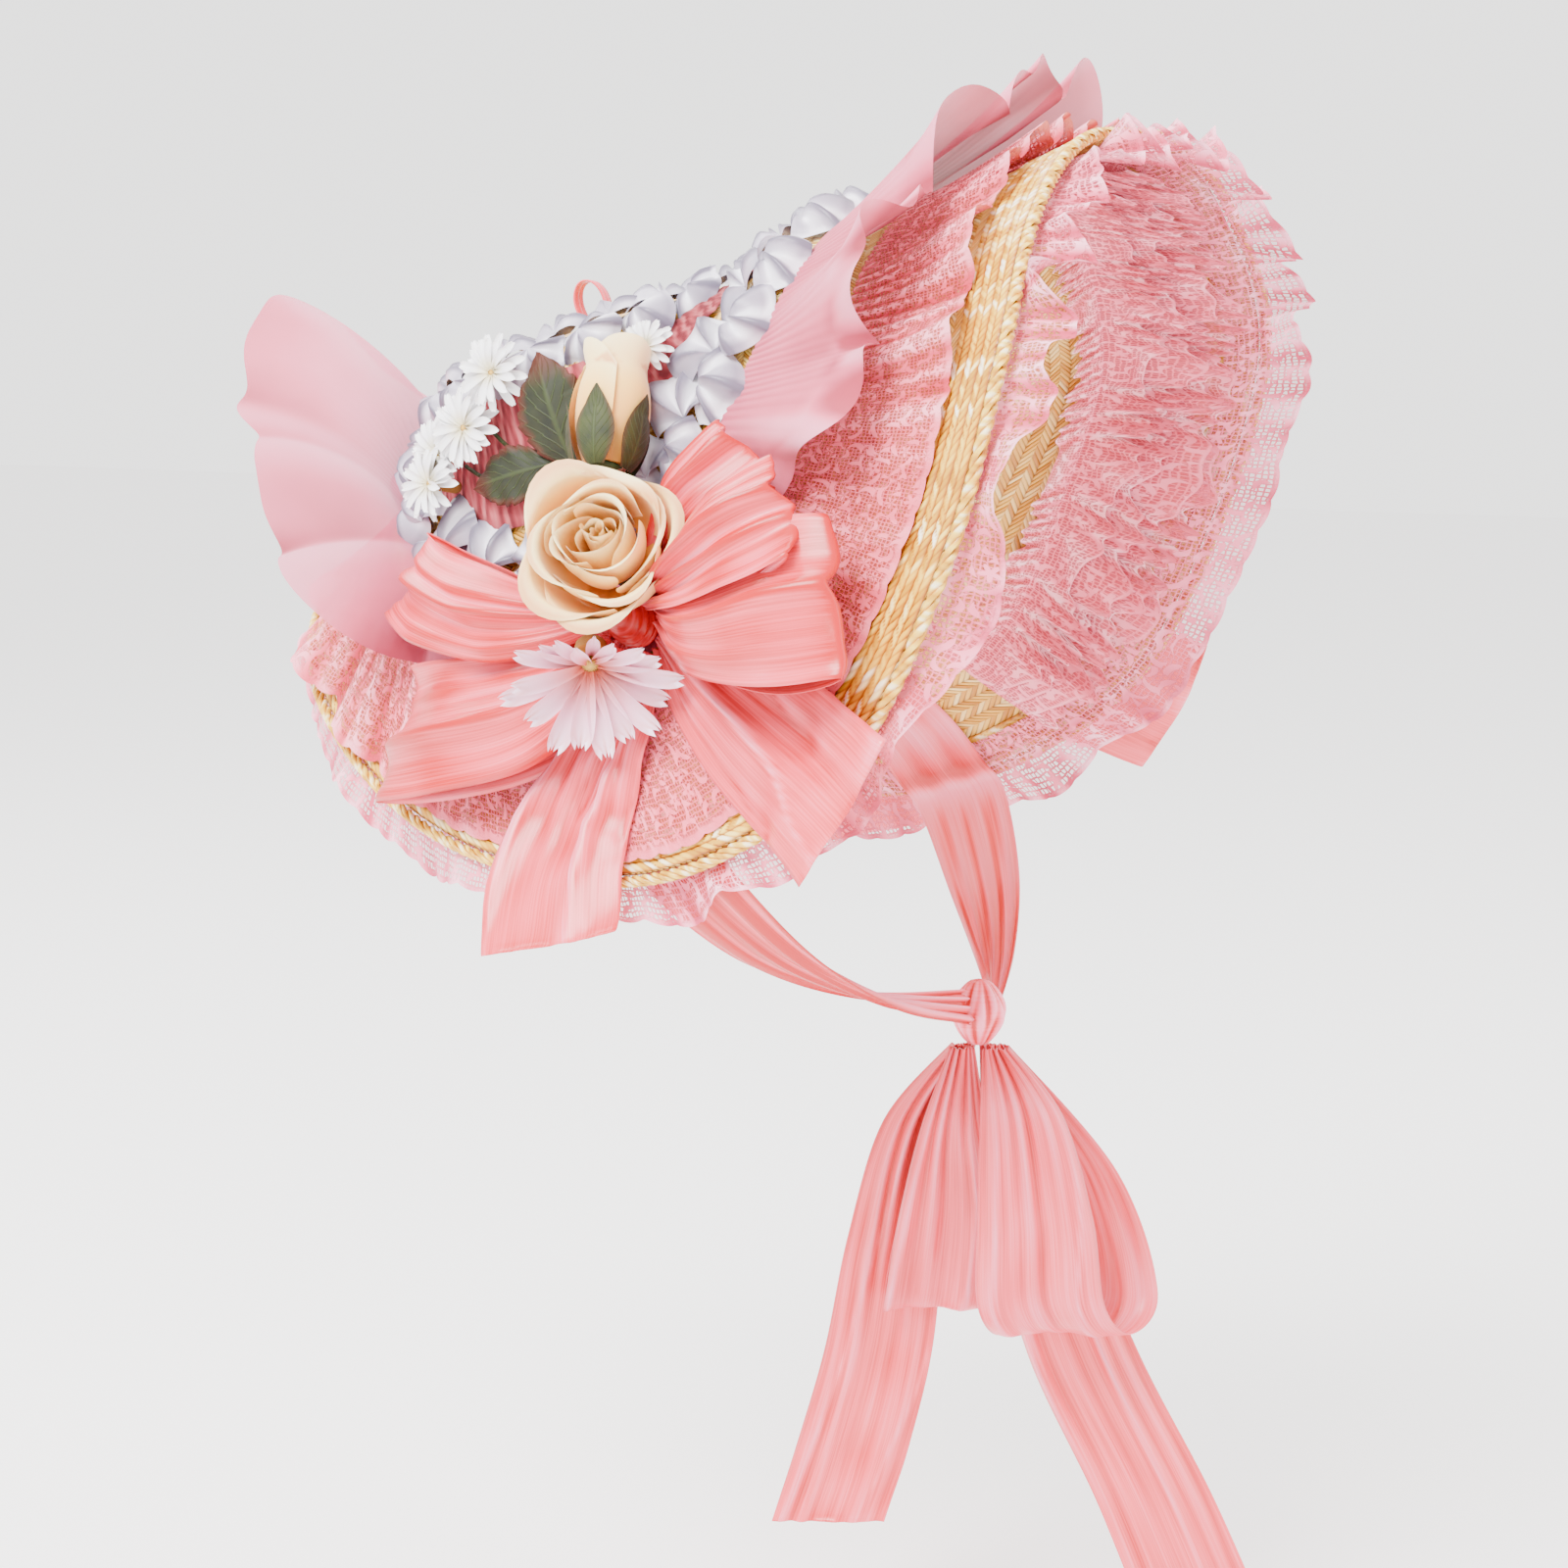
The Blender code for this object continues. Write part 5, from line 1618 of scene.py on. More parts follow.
@dataclass
class Bow:
    """A bow of wide ribbon on one side of the brim: a knot, loops and tails that bend over the brim.

    Rows of ribbons are angle, share across the brim, height as a share of loop_height, and half width as
    a share of ribbon_width.
    """

    side: str
    mirrored: bool
    ribbon_width: float = 0.062
    loop_height: float = 0.030
    ribbon_lift: float = 0.0062
    angle: float = 97.0
    across: float = 0.30
    knot_radius: float = 0.0100
    knot_height: float = 0.020
    knot_lift: float = 0.0048
    knot_stretch: float = 1.25
    tail_arch: float = 0.35
    slack: float = 0.0006
    first_seed: int = 3
    right_only: tuple[str, ...] = ("loop_curl",)
    folds: RibbonFolds = field(default_factory=RibbonFolds)
    ribbons: dict[str, Table] = field(
        default_factory=lambda: {
            "loop_back": (
                (101.2, 0.25, 0.10, 0.10), (115, 0.19, 0.30, 0.28), (126, 0.14, 0.50, 0.36),
                (136, 0.11, 0.72, 0.38), (127, 0.14, 0.96, 0.38), (114, 0.20, 0.90, 0.30),
                (101.5, 0.25, 0.45, 0.11),
            ),
            "loop_side": (
                (100.6, 0.345, 0.10, 0.10), (117, 0.46, 0.16, 0.34), (131, 0.60, 0.26, 0.44),
                (143, 0.77, 0.44, 0.48), (133, 0.64, 0.80, 0.48), (119, 0.48, 0.66, 0.40),
                (100.9, 0.345, 0.42, 0.11),
            ),
            "loop_front": (
                (92.0, 0.235, 0.08, 0.09), (85, 0.245, 0.18, 0.22), (77, 0.275, 0.30, 0.34),
                (69, 0.33, 0.46, 0.38), (77, 0.275, 0.68, 0.34), (84.6, 0.245, 0.55, 0.23),
                (92.0, 0.235, 0.36, 0.09),
            ),
            "loop_puff": (
                (92.3, 0.365, 0.085, 0.10), (89, 0.52, 0.34, 0.30), (84, 0.70, 0.52, 0.47),
                (79, 0.88, 0.74, 0.54), (82, 0.74, 1.10, 0.54), (88, 0.55, 1.06, 0.38),
                (92.3, 0.365, 0.46, 0.10),
            ),
            "tail_front": (
                (96.0, 0.375, 0.02, 0.10), (95.6, 0.52, 0.02, 0.30), (94.6, 0.72, 0.02, 0.44),
                (93.6, 0.92, 0.06, 0.50), (93.0, 1.06, 0.12, 0.52), (92.6, 1.22, 0.14, 0.54),
            ),
            "tail_back": (
                (99.6, 0.375, 0.02, 0.10), (106, 0.48, 0.02, 0.26), (114, 0.64, 0.02, 0.36),
                (120, 0.84, 0.06, 0.44), (123, 1.05, 0.14, 0.50), (124.5, 1.30, 0.14, 0.52),
            ),
            "loop_curl": (
                (91.8, 0.30, 0.20, 0.10), (86, 0.40, 0.62, 0.22), (79, 0.53, 0.95, 0.34),
                (73.5, 0.64, 1.00, 0.40), (79, 0.54, 1.38, 0.36), (86, 0.41, 1.12, 0.22),
                (91.8, 0.30, 0.50, 0.10),
            ),
        }
    )

    def sideways(self, rows: Table, u: Array) -> tuple[Array, Array]:
        """Degrees and share across the brim that make one metre of the ribbon's width.

        Args:
            rows: the ribbon's table.
            u: place along it.

        Returns:
            Degrees for each metre and shares for each metre.
        """
        angle, across, _, _ = along_rows(rows, u)
        if rows[-1][1] > 1:
            start, end = along_rows(rows, u - 0.1), along_rows(rows, u + 0.1)
            along_angle, along_across = end[0] - start[0], end[1] - start[1]
        else:
            middle = rows[len(rows) // 2]
            along_angle = np.full_like(u, middle[0] - rows[0][0])
            along_across = np.full_like(u, middle[1] - rows[0][1])
        by_angle = (FORM.brim(angle + 1, across) - FORM.brim(angle - 1, across)) / 2
        by_across = (FORM.brim(angle, across + 0.02) - FORM.brim(angle, across - 0.02)) / 0.04
        along = by_angle * along_angle[:, None] + by_across * along_across[:, None]
        side = unit(np.cross(np.cross(by_angle, by_across), along))
        aa, ab, bb = (by_angle**2).sum(1), (by_angle * by_across).sum(1), (by_across**2).sum(1)
        sa, sb = (side * by_angle).sum(1), (side * by_across).sum(1)
        scale = aa * bb - ab * ab
        return (sa * bb - sb * ab) / scale, (sb * aa - sa * ab) / scale

    def ribbon(self, label: str, seed: int) -> Panel:
        """One loop or tail.

        Args:
            label: its name in the table.
            seed: which creases it has.

        Returns:
            The panel.
        """
        rows = self.ribbons[label]
        loop = label.startswith("loop")

        def place(u: Array, v: Array) -> Array:
            line, where = np.unique(u, return_inverse=True)
            angle, across, height, half = (c[where] for c in along_rows(rows, line))
            turn_angle, turn_across = (c[where] for c in self.sideways(rows, line))
            offset = (2 * v - 1) * half * self.ribbon_width
            arch = -np.cos(math.pi * u) if loop else np.full_like(u, self.tail_arch)
            lift = self.ribbon_lift + height * self.loop_height + self.folds.lift(u, v, half, seed, arch)
            at = angle + offset * turn_angle
            low = np.full_like(lift, self.ribbon_lift - self.slack)
            at = 360 - at if self.mirrored else at
            return FORM.on_brim(at, across + offset * turn_across, np.maximum(lift, low))

        name, cut = f"{self.side}_bow_{label}_ribbon", (0.19 if loop else 0.15, self.ribbon_width)
        return Panel(name, 84, 28, place, cut, thickness=RIBBON_WALL, depth_mm=1.6)

    def knot(self) -> Panel:
        """The knot: ribbon wrapped over itself, with folds that run round it."""
        angle = np.array([360 - self.angle if self.mirrored else self.angle])
        place_at, outwards, normal = (a[0] for a in FORM.brim_frame(angle, np.array([self.across])))
        side = np.cross(normal, outwards)

        def place(u: Array, v: Array) -> Array:
            spin = math.tau * u
            profile = np.sin(math.pi * np.clip(v, 0, 1)) ** 0.35
            ridge = 1 + 0.05 * np.sin(6 * math.tau * v + 1.5 * np.sin(spin)) * profile
            radius = self.knot_radius * profile * ridge
            aside = side * (np.cos(spin) * radius)[:, None]
            flat = aside + outwards * (np.sin(spin) * radius * self.knot_stretch)[:, None]
            return place_at + flat + normal * (self.knot_lift + self.knot_height * v)[:, None]

        return Panel(f"{self.side}_bow_knot_wrapped", 48, 36, place, (0.06, 0.03), True, depth_mm=0.6)

    def build(self) -> None:
        """Builds the bow."""
        for seed, label in enumerate(self.ribbons):
            extra = label in self.right_only
            if extra and self.mirrored:
                continue
            held = Held.FOLDED if label.startswith("loop") else Held.HUNG
            nodes = () if extra else (f"{self.side}_bow_{label}",)
            dress(self.ribbon(label, seed + self.first_seed), RIBBON, nodes, held)
        dress(self.knot(), RIBBON, (f"{self.side}_bow_knot",))


@dataclass
class ChinTie:
    """Two straps from inside the brim, the knot under the chin, two loops and two long tails.

    Rows of ribbons are places sideways, up and outwards from the knot as shares of drop, and half width
    as a share of ribbon_width. Rows of inside are share across the brim, lift and share of the width.
    """

    knot_at: Point = (0.0, -0.053, -0.253)
    knot_radius: float = 0.0105
    knot_height: float = 0.028
    strap_angle: float = 111.0
    strap_half: float = 0.020
    sag_out: float = 0.016
    sag_down: float = 0.010
    end_rise: float = 0.004
    end_half: float = 0.0073
    end_side: Point = (0, 0.27, 0.96)
    first_seed: int = 21
    ribbon_width: float = 0.062
    drop: float = 0.140
    turn_deg: float = 65.0
    tail_arch: float = 0.25
    inside: Table = (
        (0.12, -0.0021, 0.8), (0.36, -0.0021, 1.0), (0.60, -0.0021, 1.0), (0.80, -0.0021, 1.0),
        (0.93, -0.0095, 1.0), (1.03, -0.0170, 1.0),
    )
    ribbons: dict[str, Table] = field(
        default_factory=lambda: {
            "chin_loop_front": (
                (0.05, -0.104, 0.02, 0.09), (0.12, -0.28, 0.13, 0.27), (0.16, -0.58, 0.19, 0.38),
                (0.18, -0.84, 0.18, 0.42), (0.26, -0.95, 0.09, 0.44), (0.35, -0.84, 0.01, 0.42),
                (0.27, -0.48, 0.00, 0.32), (0.05, -0.104, -0.02, 0.09),
            ),
            "chin_loop_back": (
                (-0.048, -0.104, 0.02, 0.08), (-0.07, -0.34, 0.03, 0.22), (-0.07, -0.60, 0.01, 0.36),
                (-0.09, -0.84, -0.02, 0.40), (-0.10, -0.91, -0.06, 0.40), (-0.09, -0.78, -0.11, 0.38),
                (-0.07, -0.45, -0.10, 0.26), (-0.048, -0.104, -0.02, 0.08),
            ),
            "chin_tail_back": (
                (-0.04, -0.104, -0.042, 0.08), (-0.17, -0.36, -0.12, 0.24), (-0.24, -0.72, -0.14, 0.32),
                (-0.29, -1.06, -0.13, 0.36), (-0.37, -1.36, -0.10, 0.38), (-0.44, -1.57, -0.08, 0.38),
            ),
            "chin_tail_front": (
                (0.04, -0.104, -0.042, 0.08), (0.12, -0.40, -0.12, 0.22), (0.22, -0.76, -0.14, 0.32),
                (0.34, -1.10, -0.12, 0.38), (0.54, -1.50, -0.09, 0.40), (0.70, -1.88, -0.07, 0.42),
            ),
        }
    )
    folds: RibbonFolds = field(default_factory=lambda: RibbonFolds(2.8, 0.0030, 0.0040, 0.010, 0.0005))

    def strap(self, name: str, side: int) -> Panel:
        """A strap: flat inside the brim, then free and drawn together into the knot.

        Args:
            name: the piece's name.
            side: 1 for the wearer's left and -1 for the right.

        Returns:
            The panel.
        """
        rows = []
        angle = self.strap_angle if side < 0 else 360 - self.strap_angle
        for across, lift, width in self.inside:
            turns = angle + np.array([0.0, 2.0, -2.0])
            at, ahead, behind = FORM.on_brim(turns, np.full(3, across), np.full(3, lift))
            rows.append((*at, *(-unit(ahead - behind) * side * self.strap_half * width)))
        last, wide = np.array(rows[-1][:3]), np.array(rows[-1][3:])
        beside = side * (self.knot_radius + 3 * FORM.gap)
        end = np.array(self.knot_at) + np.array([beside, 0, self.end_rise])
        for share in (0.35, 0.7, 1.0):
            sag = np.array([side * self.sag_out, 0, -self.sag_down]) * math.sin(math.pi * share)
            turned = wide + (np.array(self.end_side) * self.end_half - wide) * share**1.6
            rows.append((*(last + (end - last) * share + sag), *turned))

        def place(u: Array, v: Array) -> Array:
            values = np.stack(along_rows(rows, u), 1)
            ahead = np.stack(along_rows(rows, np.clip(u + 0.01, 0, 1)), 1)[:, :3]
            behind = np.stack(along_rows(rows, np.clip(u - 0.01, 0, 1)), 1)[:, :3]
            normal = unit(np.cross(ahead - behind, values[:, 3:]))
            free = np.clip((u - 0.58) / 0.3, 0, 1)
            pleat = np.sin(math.tau * (3.4 * v + 0.3 * np.sin(5 * u)))
            pleat = pleat + 0.4 * np.sin(math.tau * 8.2 * v + 2)
            bump = 0.0016 * free * pleat + 0.00035 * np.sin(math.tau * 2.5 * v) * (1 - free)
            return shifted(values[:, :3], (values[:, 3:], 2 * v - 1), (normal, bump))

        cut = (0.30, self.ribbon_width)
        return Panel(name, 110, 26, place, cut, thickness=RIBBON_WALL, reach=4, depth_mm=0.9)

    def hanging(self, label: str, seed: int) -> Panel:
        """A loop or tail below the knot.

        Args:
            label: its name in the table.
            seed: which creases it has.

        Returns:
            The panel.
        """
        rows = self.ribbons[label]
        loop = "loop" in label
        turn = math.radians(self.turn_deg)
        right = np.array([math.cos(turn), -math.sin(turn), 0])
        out = np.array([-math.sin(turn), -math.cos(turn), 0])

        def place(u: Array, v: Array) -> Array:
            across, up, depth, half = along_rows(rows, u)
            arch = np.cos(math.pi * u) if loop else np.full_like(u, self.tail_arch)
            sway = self.folds.lift(u, v, half, seed, arch)
            return shifted(
                np.array(self.knot_at),
                (right, across * self.drop),
                (out, depth * self.drop + sway),
                (np.array([0, 0, 1]), up * self.drop),
                (right, (2 * v - 1) * half * self.ribbon_width),
            )

        cut = (0.27 if loop else 0.26, self.ribbon_width)
        return Panel(f"{label}_ribbon", 110, 28, place, cut, thickness=RIBBON_WALL, depth_mm=1.8)

    def knot(self) -> Panel:
        """The knot: cloth wrapped round, with creases that run along it."""

        def place(u: Array, v: Array) -> Array:
            spin = math.tau * u
            profile = np.sin(math.pi * np.clip(v, 0, 1)) ** 0.4
            crease = 1 + 0.09 * np.sin(7 * spin + 3 * v) + 0.05 * np.sin(13 * spin - 4 * v)
            radius = self.knot_radius * profile * crease * (0.94 - 0.10 * np.cos(math.tau * v))
            return np.array(self.knot_at) + polar(radius, spin, self.knot_height * (v - 0.5))

        return Panel("chin_knot_wrapped", 90, 36, place, (0.06, 0.03), True, depth_mm=0.7)

    def build(self) -> None:
        """Builds the tie."""
        for name, side in (("chin_strap_right", -1), ("chin_strap_left", 1)):
            panel = self.strap(f"{name}_ribbon", side)
            dress(panel, RIBBON, (name,), Held.HUNG)
        for seed, label in enumerate(self.ribbons):
            panel = self.hanging(label, seed + self.first_seed)
            dress(panel, RIBBON, (label,), Held.HUNG)
        dress(self.knot(), RIBBON, ("chin_knot",))


@dataclass(frozen=True)
class DaisyKind:
    """What one kind of daisy has: its petals' finish, number and shape, and how they lean.

    Width and eye are shares of the petal's length, droop and notch too. With shortened, petals that
    point up are shorter.
    """

    finish: Finish
    slot: str
    petals: int
    width: float
    droop: float
    notch: float
    eye: float
    lean: tuple[float, float]
    inner_lean: float
    shortened: bool


WHITE_DAISY = DaisyKind(WHITE_SILK, "white_petals", 14, 0.23, 0.12, 0.05, 0.12, (-20, 4), -7, False)
PINK_DAISY = DaisyKind(LILAC_SILK, "lilac_petals", 9, 0.235, -0.04, 0.10, 0.13, (-36, -10), 0, True)


@dataclass
class Flowers:
    """The rose, the bud with its calyx, leaves, stems, daisies and the small loop on the crown.

    Rows of daisies are node, angle, share up the wall, petal length, seat and height. Rows of leaves are
    the ground they lie on, root, tip, half width and arch.
    """

    rose_radius: float = 0.034
    rose_height: float = 0.036
    rose_stem: float = 0.0288
    rose_angle: float = 94.0
    rose_across: float = 0.165
    rose_seat: float = 0.0050
    rose_seed: int = 40
    rose_rings: tuple[tuple[float, int], ...] = (
        (0.02, 2), (0.17, 3), (0.36, 3), (0.58, 4), (0.78, 4), (0.96, 5),
    )
    rose_face: Point = (-0.92, -0.16, 0.38)
    bud_length: float = 0.052
    bud_radius: float = 0.0145
    bud_inner: int = 2
    bud_petals: int = 6
    bud_hip: float = 0.012
    sepals: int = 5
    bud_foot: Point = (79, 0.06, 0.0320)
    bud_tip: Point = (68.5, 0.60, 0.0225)
    stem_radius: float = 0.0009
    petal_cup: float = 0.30
    loop_at: tuple[float, float] = (80.0, 0.5)
    loop_rise: float = 0.0170
    loop_half: float = 0.0060
    loop_width: float = 0.011
    pink_at: Point = (102.5, 0.36, 0.0285)
    pink_face: Point = (-0.785, -0.366, -0.52)
    pink_radius: float = 0.039
    pink_height: float = 0.010
    daisies: dict[str, tuple[Any, ...]] = field(
        default_factory=lambda: {
            "white_daisy_upper": ("", 103, 0.93, 0.0165, 0.0050, 0.0105),
            "white_daisy_top": ("daisy_white_top", 63, 0.60, 0.0125, 0.0042, 0.0080),
            "white_daisy_middle": ("daisy_white_middle", 116.5, 0.72, 0.0172, 0.0048, 0.0110),
            "white_daisy_back": ("daisy_white_back", 130, 0.60, 0.0168, 0.0051, 0.0095),
            "white_daisy_low": ("daisy_white_low", 131, 0.42, 0.0160, 0.0050, 0.0140),
        }
    )
    stem_lift: float = 0.0056
    stems: dict[str, Table] = field(
        default_factory=lambda: {
            "stem_upper": ((113, 0.70), (108, 0.58), (103, 0.48), (99, 0.40)),
            "stem_lower": ((126, 0.55), (118, 0.47), (110, 0.41), (102, 0.37)),
        }
    )
    leaves: dict[str, tuple[Any, ...]] = field(
        default_factory=lambda: {
            "leaf_large": (FORM.on_crown, (92, 0.33, 0.0062), (89, 0.95, 0.0140), 0.0170, 0.004),
            "leaf_back": (FORM.on_crown, (97, 0.42, 0.0082), (121, 0.42, 0.0105), 0.0125, 0.003),
            "leaf_front": (FORM.on_brim, (88, 0.075, 0.0216), (77, 0.11, 0.0415), 0.0100, 0.002),
        }
    )

    def spot(self, ground: Callable[..., Array], row: Point) -> Array:
        """One point over the crown or the brim."""
        return ground(*(np.array([float(x)]) for x in row))[0]

    def rose_petal(self, ring: float, seed: int) -> Panel:
        """One petal round +Z, from the tight heart at ring 0 to the open outside at ring 1.

        Args:
            ring: how far out it sits.
            seed: which unevenness it has.

        Returns:
            The panel.
        """
        dice = np.random.default_rng(seed)
        height = self.rose_height * (1.0 - 0.26 * ring**2) * dice.uniform(0.93, 1.05)
        rim = self.rose_radius * (0.07 + 0.80 * ring) * dice.uniform(0.94, 1.05)
        foot = self.rose_radius * (0.04 + 0.42 * ring)
        spread = math.radians(112 - 48 * ring)
        curl = self.rose_radius * (0.30 + 0.42 * ring) * dice.uniform(0.8, 1.25)
        wave, lean = dice.uniform(0, math.tau), dice.uniform(-0.3, 0.3)

        def place(u: Array, v: Array) -> Array:
            s = 2 * u - 1
            shoulder = np.abs(s - lean * 0.5) ** 2.2
            t = v * (1 - (0.22 + 0.12 * ring) * shoulder)
            swell = np.sin(t * math.pi * 0.5) ** (0.36 + 0.12 * (1 - ring))
            over = np.clip(t - 0.76, 0, 1)
            close = 1 - (0.42 - 0.40 * ring) * np.clip((t - 0.40) / 0.6, 0, 1) ** 1.3
            radius = (foot + (rim - foot) * swell) * close * (1 + 0.09 * s)
            radius = radius + curl * over**1.2 * (0.4 + 0.8 * ring) * (1.1 - 0.5 * s * s)
            radius = radius + self.rose_radius * (0.045 + 0.075 * ring) * np.sin(3.2 * s + wave) * t * t
            at = s * spread * (0.60 + 0.40 * np.sin(math.pi * np.clip(v, 0.02, 1) * 0.60))
            rise = height * t**0.9 - height * (0.6 + 1.5 * ring) * over**1.6
            rise = rise - 0.10 * height * (1 - ring) ** 3 + 0.0014 * np.sin(4.2 * s + wave) * t * t
            return polar(radius, at, rise)

        def along(u: Array, v: Array) -> Array:
            return np.clip(v * (0.75 + 0.25 * (1 - np.abs(2 * u - 1))) + 0.05 * ring, 0, 1)

        notes = {"along": along}
        cut = (0.03, 0.03)
        return Panel(f"rose_petal_{seed}", 18, 14, place, cut, reach=2, depth_mm=0.9, notes=notes)

    def rose(self) -> None:
        """The open rose: six rings of petals from a tight heart to an open rim, on its hip."""
        axis = unit(np.array(self.rose_face))
        seat = self.spot(FORM.on_brim, (self.rose_angle, self.rose_across, self.rose_seat))
        at = seat + axis * self.rose_stem
        parts = []
        dice = np.random.default_rng(5)
        for ring, count in self.rose_rings:
            for k in range(count):
                spin = 360 * k / count + 137.5 * ring * 6 + dice.uniform(-14, 14)
                petal = self.rose_petal(ring, self.rose_seed + len(parts)).mesh()
                parts.append((petal, stand(at, axis, spin, dice.uniform(-7, 8))))
        assemble("rose_petals", parts, ROSE_SILK, ("rose_full",))
        rows = ((0, 0.0), (0.02, 0.14), (0.35, 0.17), (0.7, 0.20), (0.92, 0.34), (1, 0.0))
        base = self.turned("rose_hip", rows, 16)
        scale = Matrix.Diagonal((self.rose_radius, self.rose_radius, self.rose_stem + 0.002, 1))
        where = stand(at - axis * self.rose_stem, axis) @ scale
        assemble("rose_hip", [(base.mesh(), where)], SEPAL)

    def turned(self, name: str, rows: tuple[tuple[float, float], ...], sides: int) -> Panel:
        """A round body on +Z from rows of height and radius.

        Args:
            name: its name.
            rows: height and radius.
            sides: how many sides it has.

        Returns:
            The panel.
        """

        def place(u: Array, v: Array) -> Array:
            height, radius = along_rows(rows, v)
            radius = np.maximum(radius, 0) * np.where((v <= 0) | (v >= 1), 0, 1)
            return polar(radius, math.tau * u, height)

        notes, chart = {"along": lambda u, v: v * 0.7}, lambda u, v: (v, u * 0)
        return Panel(name, sides, 4 * len(rows), place, closed=True, reach=1, notes=notes, chart=chart)

    def bud(self) -> None:
        """The bud: wrapped petals that are open at the tip, in a calyx of pointed sepals."""
        foot, tip = self.spot(FORM.on_crown, self.bud_foot), self.spot(FORM.on_crown, self.bud_tip)
        axis = unit(tip - foot)
        parts = []
        for k in range(self.bud_petals):
            inner = k < self.bud_inner
            size = 0.62 if inner else 0.97 + 0.015 * (k % 2)
            reach = self.bud_length * (1.03 if inner else 0.98 + 0.02 * (k % 3))

            def place(
                u: Array, v: Array, size: float = size, reach: float = reach, inner: bool = inner
            ) -> Array:
                s = 2 * u - 1
                t = v * (1 - 0.24 * np.abs(s) ** 2.4)
                swell = np.sin(math.pi * np.clip(t * 0.9 + 0.08, 0, 1)) ** 0.6
                radius = self.bud_radius * size * (0.25 + 0.75 * swell) * (1 + 0.13 * s)
                radius = radius + self.bud_radius * (0.20 if inner else 0.70) * np.clip(t - 0.80, 0, 1) * 4
                return polar(radius + 0.0005 * np.sin(6 * s) * t, s * math.radians(78), reach * t)

            notes = {"along": lambda u, v: 0.15 + 0.85 * v**1.5}
            panel = Panel(f"bud_petal_{k}", 16, 18, place, (0.03, 0.05), reach=2, notes=notes)
            parts.append((panel.mesh(), stand(foot, axis, 97.0 * k)))
        assemble("bud_petals", parts, ROSE_SILK, ("rose_bud",))

        def sepal(u: Array, v: Array) -> Array:
            s, t = 2 * u - 1, v
            width = 0.50 * np.sin(math.pi * np.clip(0.22 + 0.78 * t, 0, 1)) ** 1.1 + 0.02
            swell = np.sin(math.pi * np.clip(0.08 + 0.7 * t, 0, 1)) ** 0.6
            radius = (self.bud_radius + 0.0016) * (0.42 + 0.62 * swell)
            radius = radius + 0.0045 * np.clip(t - 0.75, 0, 1) * 3
            return polar(radius, s * width, -0.003 + self.bud_length * 0.60 * t)

        notes, chart = {"along": lambda u, v: v * 0.8}, lambda u, v: (v, 2 * u - 1)
        leaf = Panel("sepal", 8, 16, sepal, reach=2, notes=notes, chart=chart).mesh()
        parts = [(leaf, stand(foot, axis, 360 / self.sepals * k + 10)) for k in range(self.sepals)]
        hip = self.turned("bud_hip", ((0, 0.0), (0.05, 0.35), (0.4, 0.42), (0.75, 0.66), (1, 0.0)), 14)
        scale = Matrix.Diagonal((self.bud_hip, self.bud_hip, self.bud_hip + 0.003, 1))
        parts.append((hip.mesh(), stand(foot - axis * self.bud_hip, axis) @ scale))
        assemble("bud_sepals", parts, SEPAL, ("bud_calyx",))

    def leaf(self, name: str) -> None:
        """A serrated leaf, folded along its midrib."""
        ground, base, tip, half, arch = self.leaves[name]
        start, end = self.spot(ground, base), self.spot(ground, tip)
        outward = unit(self.spot(ground, (base[0], base[1], base[2] + 0.01)) - start)
        along = end - start
        side = unit(np.cross(outward, along))

        def place(u: Array, v: Array) -> Array:
            s = 2 * v - 1
            teeth = 1 + 0.11 * (((u * 9) % 1) - 0.5) * np.sin(math.pi * u) ** 0.3
            width = half * (np.sin(math.pi * u**0.8) * 0.96 + 0.02) * teeth
            rise = arch * (np.sin(math.pi * u) - 0.55 * np.abs(s))
            rise = rise + 0.0008 * np.sin(math.tau * 4 * u + 3 * s) * np.abs(s)
            sweep = 0.06 * np.abs(s) * np.sin(math.pi * u)
            return shifted(start, (along, u + sweep), (side, s * width), (outward, rise))

        notes, chart = {"along": lambda u, v: u}, lambda u, v: (u, 2 * v - 1)
        made = f"{name}_serrated"
        panel = Panel(made, 72, 14, place, thickness=LEAF_WALL, reach=2, notes=notes, chart=chart)
        dress(panel, LEAF, (name,))

    def stem(self, name: str) -> None:
        """A thin wired stem along the crown's wall."""
        rows = self.stems[name]

        def place(u: Array, v: Array) -> Array:
            def line(share: Array) -> Array:
                angle, up = along_rows(rows, share)
                return FORM.on_crown(angle, up, np.full_like(up, self.stem_lift))

            ahead = unit(line(u + 0.02) - line(u - 0.02))
            first = unit(np.cross(ahead, np.array([0.3, 0.2, 1.0])))
            second = np.cross(ahead, first)
            spin = math.tau * v
            skin = first * np.cos(spin)[:, None] + second * np.sin(spin)[:, None]
            return line(u) + skin * self.stem_radius

        notes, chart = {"along": lambda u, v: u * 0.4}, lambda u, v: (u, v * 0 + 0.5)
        panel = Panel(f"{name}_wired", 40, 8, place, reach=1, notes=notes, chart=chart)
        dress(panel, SEPAL, (name,))

    def petal(self, name: str, length: float, width: float, droop: float, notch: float) -> Panel:
        """A daisy petal along +X that starts near the axis.

        Args:
            name: its name.
            length: from the axis to its tip.
            width: at its widest.
            droop: how far its tip bends down.
            notch: depth of the split in its tip, as a share of its length.

        Returns:
            The panel.
        """

